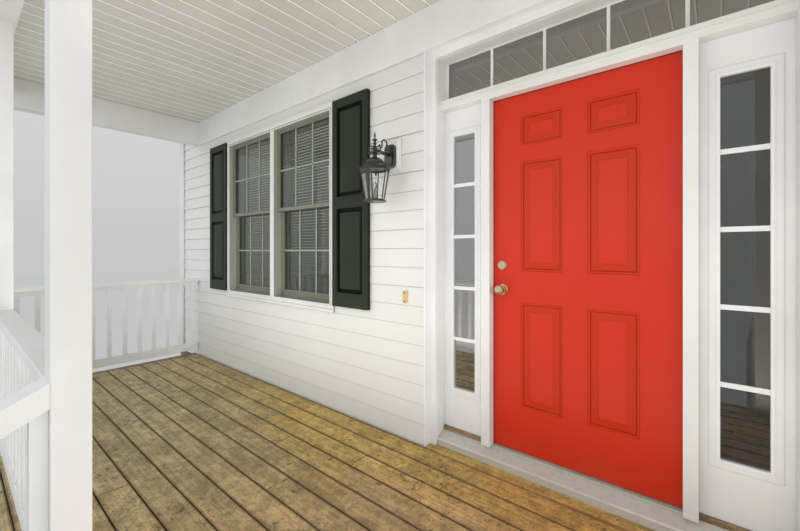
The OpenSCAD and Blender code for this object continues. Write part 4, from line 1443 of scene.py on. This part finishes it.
@dataclass
class Ceiling:
    """The porch ceiling: beaded boards that run out from the wall."""

    frame: Frame
    pitch: float = 0.1252
    line_x: float = -0.9135
    bead: float = 0.011
    bead_d: float = 0.003
    nail_r: float = 0.005
    nail_h: float = 0.002
    nail_y: float = -0.032
    nail_x: float = 0.004
    nail_shake: Point = (0.002, 0.002, 0.0)

    def build(self) -> None:
        """Builds the ceiling."""
        low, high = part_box("porch_ceiling")
        thick = high.z - low.z
        w, b, d = self.pitch, self.bead, self.bead_d
        outline = [(0.0, thick), (0.0, 0.0), (b * 0.2, -d), (b * 0.7, -d), (b, 0.0), (b, d), (b * 1.25, d),
                   (b * 1.4, 0.0), (w, 0.0), (w, thick)]
        unit = Shape()
        unit.prism(outline, 0.0, high.y - low.y, Along.Y)
        first = self.line_x - math.ceil((self.line_x - low.x) / w) * w - b / 2
        count = math.ceil((high.x - first) / w)
        boards = Repeats.lay(unit, "rows", "paint_ceiling", Count=count, Step=(w, 0.0, 0.0), Seed=8)
        shape = Shape()
        shape.add(boards, moved_by(first, low.y, low.z))
        shape.cut((high.x, 0.0, 0.0), (1.0, 0.0, 0.0))
        shape.cut((low.x, 0.0, 0.0), (-1.0, 0.0, 0.0))
        self.frame.keep(shape.finish("ceiling_boards", "paint_ceiling", SMOOTH_BOARDS), "porch_ceiling",
                        "porch_ceiling")
        self._nails(first, count, low.z)

    def _nails(self, first: float, count: int, z: float) -> None:
        """Puts a nail at the wall end of each board, a little in from the frieze.

        Args:
            first: The X of the first board's edge.
            count: The number of boards.
            z: The height of the ceiling's face.
        """
        unit = Shape()
        unit.cone(Matrix(), self.nail_r, self.nail_r, self.nail_h, 8)
        data = Repeats.lay(unit, "rows", "metal_screw", Count=count - 1, Step=(self.pitch, 0.0, 0.0),
                           Jitter=self.nail_shake, Seed=9)
        nails = Shape()
        nails.add(data, moved_by(first + self.pitch - self.nail_x, self.nail_y, z - self.nail_h / 4))
        self.frame.keep(nails.finish("ceiling_nails", "metal_screw"), "porch_ceiling")


def roof_slope() -> tuple[float, float, float]:
    """Measures the roof from its deck's box, which is higher by the deck's own thickness.

    Returns:
        The height of its eave, its slope and its length up the slope.
    """
    thickness = 0.12
    low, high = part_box("roof_deck")
    rise, run = high.z - low.z - thickness, high.y - low.y
    return low.z + thickness, math.atan2(rise, run), math.hypot(rise, run)


@dataclass
class Cladding:
    """Lap siding on the house wall and on the gable ends."""

    frame: Frame
    exposure: float = 0.1238
    first: float = 0.720
    butt: float = 0.0075
    nose: float = 0.003
    back: float = 0.018
    gable_clear: float = 0.001
    wall_seed: int = 3
    gable_seed: int = 4

    def build(self) -> None:
        """Builds each stretch of siding."""
        for place in ("left_of_door", "right_of_door", "over_door", "outer_left", "outer_right"):
            self._stretch(f"wall_{place}", [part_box(f"wall_{place}")])
        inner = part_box("wall_right_of_door")[1].x
        for node in ("walls_below_windows", "walls_above_windows"):
            low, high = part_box(node)
            self._stretch(node, [(low, Vector((-inner, high.y, high.z))),
                                 (Vector((inner, low.y, low.z)), high)])
        self._gables()

    def _courses(self, length: float, count: int, seed: int) -> Mesh:
        """Lays lapped boards one over the other, with their butt edges on Y 0.

        Args:
            length: The boards' length.
            count: Their number.
            seed: The seed of their tints.

        Returns:
            The mesh of the boards.
        """
        e = self.exposure
        outline = [(0.0, 0.0), (0.0, self.nose), (self.butt, e), (self.back, e), (self.back, 0.0)]
        unit = Shape()
        unit.prism(outline, 0.0, length)
        return Repeats.lay(unit, "rows", "vinyl_siding", Count=count, Step=(0.0, 0.0, e), Seed=seed)

    def _stretch(self, node: str, parts: list[tuple[Vector, Vector]]) -> None:
        """Covers the parts of a wall node with siding over a plain backing.

        Args:
            node: The node that is covered.
            parts: The low and high corner of each part.
        """
        siding = Shape()
        backing = Shape()
        for low, high in parts:
            start = math.floor((low.z - self.first) / self.exposure)
            stop = math.ceil((high.z - self.first) / self.exposure)
            siding.add(self._courses(high.x - low.x, stop - start, self.wall_seed),
                       moved_by(low.x, 0.0, self.first + start * self.exposure))
            backing.box((low.x, self.back, low.z), (high.x, high.y, high.z))
        siding.cut((0.0, 0.0, parts[0][0].z), (0.0, 0.0, -1.0))
        siding.cut((0.0, 0.0, parts[0][1].z), (0.0, 0.0, 1.0))
        self.frame.keep(siding.finish(f"{node}_siding", "vinyl_siding", SMOOTH_BOARDS), node, node)
        self.frame.keep(backing.finish(f"{node}_backing", "plaster_inside"), node)

    def _gables(self) -> None:
        """Covers the outer faces of the gable ends, with the boards cut to the roof's slope."""
        low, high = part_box("gable_ends")
        self.frame.dress("gable_ends", "gable_bodies", "paint_white_along_y", 0.001)
        slope = roof_slope()[1]
        count = math.ceil((high.z - low.z) / self.exposure)
        for name, side, start in (("right", 1.0, low.y), ("left", -1.0, high.y)):
            shape = Shape()
            shape.add(self._courses(high.y - low.y, count, self.gable_seed),
                      moved_by(side * (high.x + self.butt), start, low.z) @ turned_by(side * 90.0, "Z"))
            shape.cut((0.0, high.y, high.z - self.gable_clear), (0.0, -math.sin(slope), math.cos(slope)))
            self.frame.keep(shape.finish(f"gable_siding_{name}", "vinyl_gable", SMOOTH_BOARDS), "gable_ends")


@dataclass
class Roof:
    """The lean-to roof: its painted deck, shingles, drip edge and flashing at the wall."""

    frame: Frame
    exposure: float = 0.143
    overlap: float = 1.06
    tab: float = 0.305
    slot: float = 0.006
    thick: float = 0.005
    shuffle: float = 0.08
    lift: float = 0.0006
    sheet: float = 0.002
    drip_h: float = 0.03
    drip_run: float = 0.05
    drip_rise: float = 0.018
    flashing_run: float = 0.06
    flashing_h: float = 0.09
    flashing_lift: float = 0.014
    flashing_t: float = 0.003

    def build(self) -> None:
        """Builds the roof."""
        low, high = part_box("roof_deck")
        self.frame.dress("roof_deck", "roof_body", "paint_white_along_x", 0.002)
        level, slope, length = roof_slope()
        eave = Vector((low.x, low.y, level))
        self._shingles(eave, slope, length, high.x - low.x)
        self._edges(eave, high, slope)

    def _shingles(self, eave: Vector, slope: float, length: float, width: float) -> None:
        """Lays tabs in staggered courses up the slope.

        Args:
            eave: The left end of the eave.
            slope: The roof's slope.
            length: Its length up the slope.
            width: Its width.
        """
        t, e = self.thick, self.exposure
        unit = Shape()
        lap = e * self.overlap
        unit.prism([(0.0, t * 0.4), (0.0, t * 1.6), (lap, t), (lap, 0.0)], 0.0, self.tab - self.slot)
        shape = Shape()
        shape.add(Repeats.lay(
            unit, "courses", "shingle_grit", Rows=math.ceil(length / e), Columns=int(width / self.tab) + 2,
            Pitch=self.tab, Joint=self.slot, Length=width, Row_Step=(0.0, e, 0.0), Stagger=0.5,
            Shuffle=self.shuffle, Lift=(0.0, 0.0, self.lift), Seed=17))
        shape.box((0.0, 0.0, 0.0), (width, length, t * 0.5))
        shape.cut((0.0, length, 0.0), (0.0, 1.0, 0.0))
        shape.moved(moved_by(*eave) @ turned_by(math.degrees(slope), "X"))
        self.frame.keep(shape.finish("roof_shingles", "shingle_grit", SMOOTH_BOARDS), "roof_deck")

    def _edges(self, eave: Vector, high: Vector, slope: float) -> None:
        """Makes the metal drip edge along the eave and the flashing along the wall.

        Args:
            eave: The left end of the eave.
            high: The high corner of the roof's deck.
            slope: The roof's slope.
        """
        t, z = self.sheet, eave.z
        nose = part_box("eave_trim")[0].y
        back = eave.y + self.drip_run
        drip = [(nose - 2 * t, z - self.drip_h), (nose - 2 * t, z + t), (back, z + self.drip_rise + t),
                (back, z + self.drip_rise), (nose - t, z), (nose - t, z - self.drip_h)]
        run, foot = self.flashing_run, high.z + self.flashing_lift
        fall = run * math.tan(slope)
        top = high.z + self.flashing_h
        flashing = [(-run, foot - fall), (-t, foot), (-t, top), (-2 * t, top),
                    (-2 * t, foot + self.flashing_t), (-run, foot - fall + self.flashing_t)]
        metal = Shape()
        for outline in (drip, flashing):
            metal.prism(outline, -high.x, high.x)
        self.frame.keep(metal.finish("roof_flashing", "metal_sill"), "roof_deck")


@dataclass
class TwinWindows:
    """The twin windows: trim, sashes with grids, glass and blinds."""

    frame: Frame
    grid_w: float = 0.014
    grid_t: float = 0.006
    slat_w: float = 0.029
    slat_pitch: float = 0.0262
    slat_tilt: float = 50.0
    slat_t: float = 0.001
    slat_in: float = 0.02
    slat_shake: Point = (0.0, 0.0, 0.0008)
    first_seed: int = 40
    blind_y: float = 0.135
    upper_stile: float = 0.036
    edge: float = 0.0015
    grid_edge: float = 0.001

    def build(self) -> None:
        """Builds the windows' pieces."""
        for node, finish in (("window_frames", "paint_window_trim"), ("window_sashes", "vinyl_sash")):
            self.frame.dress(node, f"{node}_dressed", finish, self.edge)
        self.frame.paint_node("window_glass", "glass_window")
        self._grids()
        self._blinds()

    def _panes(self) -> list[tuple[Vector, Vector]]:
        """Finds each pane's box from the separate parts of the glass node.

        Returns:
            Each pane's low and high corner, from left to right.
        """
        mesh = bmesh.new()
        mesh.from_mesh(self.frame.nodes["window_glass"].data)
        bmesh.ops.remove_doubles(mesh, verts=mesh.verts, dist=1e-5)
        left = set(mesh.verts)
        boxes = []
        while left:
            group, queue = set(), [left.pop()]
            while queue:
                vert = queue.pop()
                group.add(vert)
                near = {e.other_vert(vert) for e in vert.link_edges} & left
                left -= near
                queue.extend(near)
            places = [v.co for v in group]
            boxes.append((Vector(min(p[i] for p in places) for i in range(3)),
                          Vector(max(p[i] for p in places) for i in range(3))))
        mesh.free()
        return sorted(boxes, key=lambda b: (b[0].x, b[0].z))

    def _grids(self) -> None:
        """Divides each pane in three across and two up with flat bars on its outer face."""
        shape = Shape()
        half = self.grid_w / 2
        for low, high in self._panes():
            y0, y1 = low.y - self.grid_t, low.y
            for share in (1 / 3, 2 / 3):
                x = low.x + share * (high.x - low.x)
                shape.box((x - half, y0, low.z), (x + half, y1, high.z), self.grid_edge)
            z = (low.z + high.z) / 2
            shape.box((low.x, y0, z - half), (high.x, y1, z + half), self.grid_edge)
        self.frame.keep(shape.finish("window_grids", "vinyl_grid"), "window_sashes")

    def _units(self) -> list[tuple[float, float]]:
        """Gives the left and right edge of each window unit's clear opening.

        Returns:
            The two edges of each unit, from left to right.
        """
        panes = self._panes()
        top = max(high.z for _, high in panes)
        return [(low.x - self.upper_stile, high.x + self.upper_stile)
                for low, high in panes if high.z > top - 0.001]

    def _blinds(self) -> None:
        """Hangs slatted blinds behind the glass."""
        low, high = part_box("window_sashes")
        shape = Shape()
        count = int((high.z - low.z) / self.slat_pitch)
        for number, (x0, x1) in enumerate(self._units()):
            unit = Shape()
            unit.box((x0 + self.slat_in, -self.slat_w / 2, -self.slat_t / 2),
                     (x1 - self.slat_in, self.slat_w / 2, self.slat_t / 2))
            unit.moved(turned_by(self.slat_tilt, "X"))
            slats = Repeats.lay(unit, "rows", "blind_slat", Count=count, Step=(0.0, 0.0, self.slat_pitch),
                                Jitter=self.slat_shake, Seed=self.first_seed + number)
            shape.add(slats, moved_by(0.0, self.blind_y, low.z + self.slat_pitch / 2))
        self.frame.keep(shape.finish("window_blinds", "blind_slat"), "window_sashes")


@dataclass
class Shutters:
    """The panelled shutters beside the windows."""

    frame: Frame
    edge: float = 0.002

    def build(self) -> None:
        """Builds the shutters."""
        self.frame.dress("shutters", "shutters_painted", "paint_shutter", self.edge)


@dataclass(frozen=True)
class Strip:
    """A strip's section, as its reach in front of and behind a face, and from a level."""

    front: float
    back: float
    low: float
    high: float
    edge: float = 0.002

    def lay(self, shape: Shape, start: float, stop: float, face: float, level: float) -> None:
        """Adds the strip to a shape.

        Args:
            shape: The shape.
            start: Where it starts along X.
            stop: Where it ends.
            face: The Y of its face.
            level: The Z of its level.
        """
        shape.box((start, face - self.front, level + self.low), (stop, face + self.back, level + self.high),
                  self.edge)


@dataclass
class DoorSet:
    """The door, its casing, frame, sill, transom, sidelights and metalwork."""

    frame: Frame
    mullion: float = 0.050
    rebate: float = 0.007
    stop_w: float = 0.011
    seal: float = 0.002
    seal_front: float = 0.0048
    seal_back: float = 0.001
    seal_edge: float = 0.0008
    edge: float = 0.0015
    casing_edge: float = 0.002
    leaf_edge: float = 0.0012
    leaf_smooth: float = 3.0
    foot: Strip = Strip(front=0.016, back=0.004, low=-0.010, high=0.016)
    rib: Strip = Strip(front=0.024, back=0.010, low=-0.012, high=0.001)
    lip: Strip = Strip(front=0.003, back=0.004, low=-0.048, high=-0.038)
    lip_clear: float = 0.001
    bell: tuple[float, float] = (-0.9963, 1.6385)
    bell_size: tuple[float, float] = (0.036, 0.080)
    bell_face: float = -0.0085
    bell_back: float = 0.002
    bell_edge: float = 0.001
    button_r: float = 0.009
    button_top_r: float = 0.007
    button_h: float = 0.004
    screw_r: float = 0.0055
    screw_top_r: float = 0.0045
    screw_h: float = 0.003
    screw_x: float = -0.004
    screw_out: float = 0.001
    screw_at: float = 0.72

    def build(self) -> None:
        """Builds the door set's pieces."""
        for node, finish, bevel in (("door_casing", "paint_sheltered_along_z", self.casing_edge),
                                    ("door_frame", "paint_white_along_z", self.edge),
                                    ("transom_sash", "paint_white_along_x", self.edge),
                                    ("sidelight_panels", "paint_sheltered_along_z", self.edge),
                                    ("door_sill", "sill_face", self.edge)):
            self.frame.dress(node, f"{node}_dressed", finish, bevel)
        self.frame.paint_node("transom_glass", "glass_transom")
        for finish, away in (("glass_side_left", 1.0), ("glass_side_right", -1.0)):
            panes = Shape()
            panes.node(self.frame.nodes["sidelight_glass"], 0.0)
            panes.cut((0.0, 0.0, 0.0), (away, 0.0, 0.0))
            self.frame.keep(panes.finish(f"{finish}_panes", finish), "sidelight_glass", "sidelight_glass")
        self.frame.dress("door_leaf", "door_leaf_painted", "paint_door_red", self.leaf_edge, self.leaf_smooth,
                         DOOR)
        for node in ("frame_hinges", "leaf_hinges", "door_locks", "door_knob"):
            self.frame.paint_node(node, "brass_satin")
        self._strips()
        self._seal()
        self._bell()

    def _strips(self) -> None:
        """Makes the wood strip at the foot of each sidelight, the rib under the door and the sill's lip."""
        low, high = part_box("door_sill")
        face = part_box("door_leaf")[0].y
        rib_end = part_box("door_leaf")[1].x
        inner = rib_end + self.mullion
        lip_end = high.x - self.lip_clear
        for name, finish, node, strip, at, spans in (
                ("sidelight_foot_strips", "timber_strip", "sidelight_panels", self.foot, face,
                 ((inner, high.x), (-high.x, -inner))),
                ("threshold_rib", "sill_strip", "door_sill", self.rib, face, ((-rib_end, rib_end),)),
                ("sill_lip", "paint_white_along_x", "door_sill", self.lip, low.y, ((-lip_end, lip_end),))):
            shape = Shape()
            for start, stop in spans:
                strip.lay(shape, start, stop, at, high.z)
            self.frame.keep(shape.finish(name, finish), node)

    def _seal(self) -> None:
        """Makes the dark weather strip between the door and its frame's stops."""
        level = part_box("door_sill")[1].z
        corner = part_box("door_leaf")[1]
        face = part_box("door_leaf")[0].y
        side = corner.x + self.rebate - self.stop_w
        top = corner.z + self.rebate - self.stop_w
        outer, head = side + self.stop_w, top + self.stop_w
        shape = Shape()
        for x0, x1, z in ((-outer, -side + self.seal, level), (side - self.seal, outer, level),
                          (-side, side, top - self.seal)):
            shape.box((x0, face - self.seal_front, z), (x1, face - self.seal_back, head), self.seal_edge)
        self.frame.keep(shape.finish("door_weather_strip", "rubber_dark"), "door_frame")

    def _bell(self) -> None:
        """Makes the bell push beside the door: an aged brass plate with a round button."""
        x, z = self.bell
        face = self.bell_face
        half_w, half_h = self.bell_size[0] / 2, self.bell_size[1] / 2
        # The plate's right edge from its top down, as shares of its half width and half height
        right = [(0.5, 1.0), (1.0, 0.8), (0.86, 0.4), (0.86, -0.4), (1.0, -0.8), (0.5, -1.0)]
        outline = [(x + half_w * a, z + half_h * b) for a, b in right + [(-a, -b) for a, b in right]]
        shape = Shape()
        shape.prism(outline, face, self.bell_back, Along.Y, self.bell_edge)
        upright = turned_by(90.0, "X")
        shape.cone(moved_by(x, face - self.button_h / 2, z) @ upright, self.button_r, self.button_top_r,
                   self.button_h, 24)
        self.frame.keep(shape.finish("bell_push", "brass_aged"), "door_locks")
        screws = Shape()
        for rise in (-self.screw_at, self.screw_at):
            place = moved_by(x + self.screw_x, face - self.screw_out, z + rise * half_h)
            screws.cone(place @ upright, self.screw_r, self.screw_top_r, self.screw_h, 12)
        self.frame.keep(screws.finish("bell_screws", "metal_screw"), "door_locks")


@dataclass
class Lanterns:
    """The two wall lanterns: their metal and glass, and a candle with a bulb in each."""

    frame: Frame
    sleeve_r: float = 0.011
    sleeve_h: float = 0.07
    cup_r: float = 0.022
    cup_top_r: float = 0.014
    cup_h: float = 0.010
    bulb_r: float = 0.0155
    bulb_length: float = 1.7
    bulb_z: float = 0.095
    segments: int = 20
    bulb_rings: int = 14
    smooth_sleeve: float = 40.0
    smooth_bulb: float = 60.0

    def build(self) -> None:
        """Builds the lanterns' pieces."""
        for node in ("lantern_brackets", "lantern_cages"):
            self.frame.paint_node(node, "paint_lantern_black")
        self.frame.paint_node("lantern_glass", "glass_lantern")
        self._candles()

    def _candles(self) -> None:
        """Makes a candle sleeve with a small bulb inside each lantern."""
        low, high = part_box("lantern_glass")
        front, back = (corner.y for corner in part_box("lantern_cages"))
        y = front + (back - front) / 2
        # From corner to corner, along X, the six-sided glass is wider than across, along Y
        x = high.x - (high.y - low.y) / 2 / math.cos(math.radians(30.0))
        sleeves = Shape()
        bulbs = Shape()
        stretch = Matrix.Diagonal((1.0, 1.0, self.bulb_length, 1.0))
        for side in (-x, x):
            for low_r, high_r, depth in ((self.sleeve_r, self.sleeve_r, self.sleeve_h),
                                         (self.cup_r, self.cup_top_r, self.cup_h)):
                sleeves.cone(moved_by(side, y, low.z + depth / 2), low_r, high_r, depth, self.segments)
            flame = moved_by(side, y, low.z + self.bulb_z) @ stretch
            bmesh.ops.create_uvsphere(bulbs.mesh, u_segments=self.segments, v_segments=self.bulb_rings,
                                      radius=self.bulb_r, matrix=flame)
        for shape, name, finish, smooth in ((sleeves, "lantern_candles", "candle_sleeve", self.smooth_sleeve),
                                            (bulbs, "lantern_bulbs", "glass_lantern", self.smooth_bulb)):
            self.frame.keep(shape.finish(name, finish, smooth), "lantern_glass")


@dataclass(frozen=True)
class Lamp:
    """A soft lamp that is never seen itself: a panel, or a far one whose size is an angle."""

    name: str
    place: Point
    aim: Point
    size: tuple[float, float]
    power: float
    colour: Colour = (1.0, 1.0, 1.0)
    in_gloss: bool = False
    far: bool = False

    def light(self) -> bpy.types.Light:
        """Makes the lamp's light.

        Returns:
            The light.
        """
        made = bpy.data.lights.new(self.name, "SUN" if self.far else "AREA")
        if self.far:
            made.angle = math.radians(self.size[0])
        else:
            made.shape = "RECTANGLE"
            made.size, made.size_y = self.size
        made.energy = self.power
        made.color = self.colour
        return made


@dataclass
class Stage:
    """The pale floor, the soft light and the camera at the photograph's place."""

    frame_w: int = 800
    focal_px: float = 378.83
    sensor: float = 36.0
    near: float = 0.02
    horizon_drop: float = -14.76
    eye: Point = (0.563, -1.925, 1.941)
    turn: float = 39.84
    floor_half: float = 40.0
    horizon: Colour = (0.57, 0.58, 0.57)
    zenith: Colour = (0.86, 0.87, 0.88)
    sky: Colour = (0.96, 0.98, 1.0)
    ambient: float = 1.06
    warm: Colour = (1.0, 0.965, 0.90)
    cool: Colour = (0.93, 0.965, 1.0)
    lamps: tuple[Lamp, ...] = (
        Lamp("lamp_entry", (-1.5, -8.0, 3.6), (-0.4, 0.0, 1.9), (3.0, 3.0), 28.0),
        Lamp("lamp_left", (-6.8, -6.0, 3.4), (-2.4, 0.0, 1.4), (3.0, 3.0), 25.0, in_gloss=True),
        Lamp("lamp_right", (13.0, -3.6, 2.6), (-2.5, -0.9, 1.8), (24.0, 24.0), 1.5, cool, far=True),
        Lamp("panel_deck", (0.0, -1.12, 0.74), (0.0, -1.119, 3.0), (5.4, 0.9), 40.0, warm),
        Lamp("panel_eave", (0.0, -1.45, 2.2), (0.0, 0.0, 3.3), (7.4, 0.7), 14.5, warm),
    )

    def build(self) -> None:
        """Builds the stage."""
        self._floor()
        self._world()
        self._lamps()
        self._camera()

    def _floor(self) -> None:
        """Makes the floor."""
        shape = Shape()
        bmesh.ops.create_grid(shape.mesh, x_segments=1, y_segments=1, size=self.floor_half)
        shape.finish("floor", "floor_pale")

    def _world(self) -> None:
        """Makes the world: pale where it is seen, also in gloss and through glass."""
        world = bpy.data.worlds.new("studio")
        bpy.context.scene.world = world
        world.use_nodes = True
        g = Graph(world.node_tree)
        g.tree.nodes.clear()
        path = g.node("ShaderNodeLightPath")
        seen = g.math("MAXIMUM", path.outputs["Is Camera Ray"], path.outputs["Is Glossy Ray"])
        seen = g.math("MAXIMUM", seen, path.outputs["Is Transmission Ray"])
        light = g.wire(g.node("ShaderNodeBackground"), Color=(*self.sky, 1.0), Strength=self.ambient)
        ray = g.node("ShaderNodeTexCoord").outputs["Generated"]
        height = g.wire(g.node("ShaderNodeSeparateXYZ"), Vector=ray).outputs["Z"]
        shown = g.wire(g.node("ShaderNodeBackground"), Color=g.blend(height, self.horizon, self.zenith))
        mix = g.fed(g.node("ShaderNodeMixShader"), (seen, light.outputs[0], shown.outputs[0]))
        g.feed(g.node("ShaderNodeOutputWorld").inputs["Surface"], mix.outputs[0])

    def _lamps(self) -> None:
        """Hangs the soft lamps, and lays panels that fill the space under the roof."""
        for lamp in self.lamps:
            holder = bpy.data.objects.new(lamp.name, lamp.light())
            holder.location = lamp.place
            turn = (Vector(lamp.aim) - Vector(lamp.place)).to_track_quat("-Z", "Y")
            holder.rotation_euler = turn.to_euler()
            holder.visible_camera = holder.visible_transmission = False
            holder.visible_glossy = lamp.in_gloss
            bpy.context.scene.collection.objects.link(holder)

    def _camera(self) -> None:
        """Sets the camera at the photograph's place and angle."""
        lens = bpy.data.cameras.new("camera")
        lens.sensor_width = self.sensor
        lens.lens = self.focal_px / self.frame_w * self.sensor
        lens.shift_y = self.horizon_drop / self.frame_w
        lens.clip_start = self.near
        camera = bpy.data.objects.new("camera", lens)
        camera.location = self.eye
        camera.rotation_euler = (math.radians(90.0), 0.0, math.radians(self.turn))
        bpy.context.scene.collection.objects.link(camera)
        bpy.context.scene.camera = camera


def main() -> None:
    """Builds the stage and every sub-assembly."""
    logging.basicConfig(level=logging.INFO, format="%(name)s: %(message)s")
    bpy.context.scene.view_settings.view_transform = "Standard"
    frame = Frame()
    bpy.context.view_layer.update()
    Stage().build()
    for part in (Deck(frame), Brickwork(frame), PaintedTimber(frame), Ceiling(frame), Cladding(frame),
                 Roof(frame), TwinWindows(frame), Shutters(frame), DoorSet(frame), Lanterns(frame)):
        part.build()
    LOG.info("triangles in all: %d", frame.count)


if __name__ == "__main__":
    main()
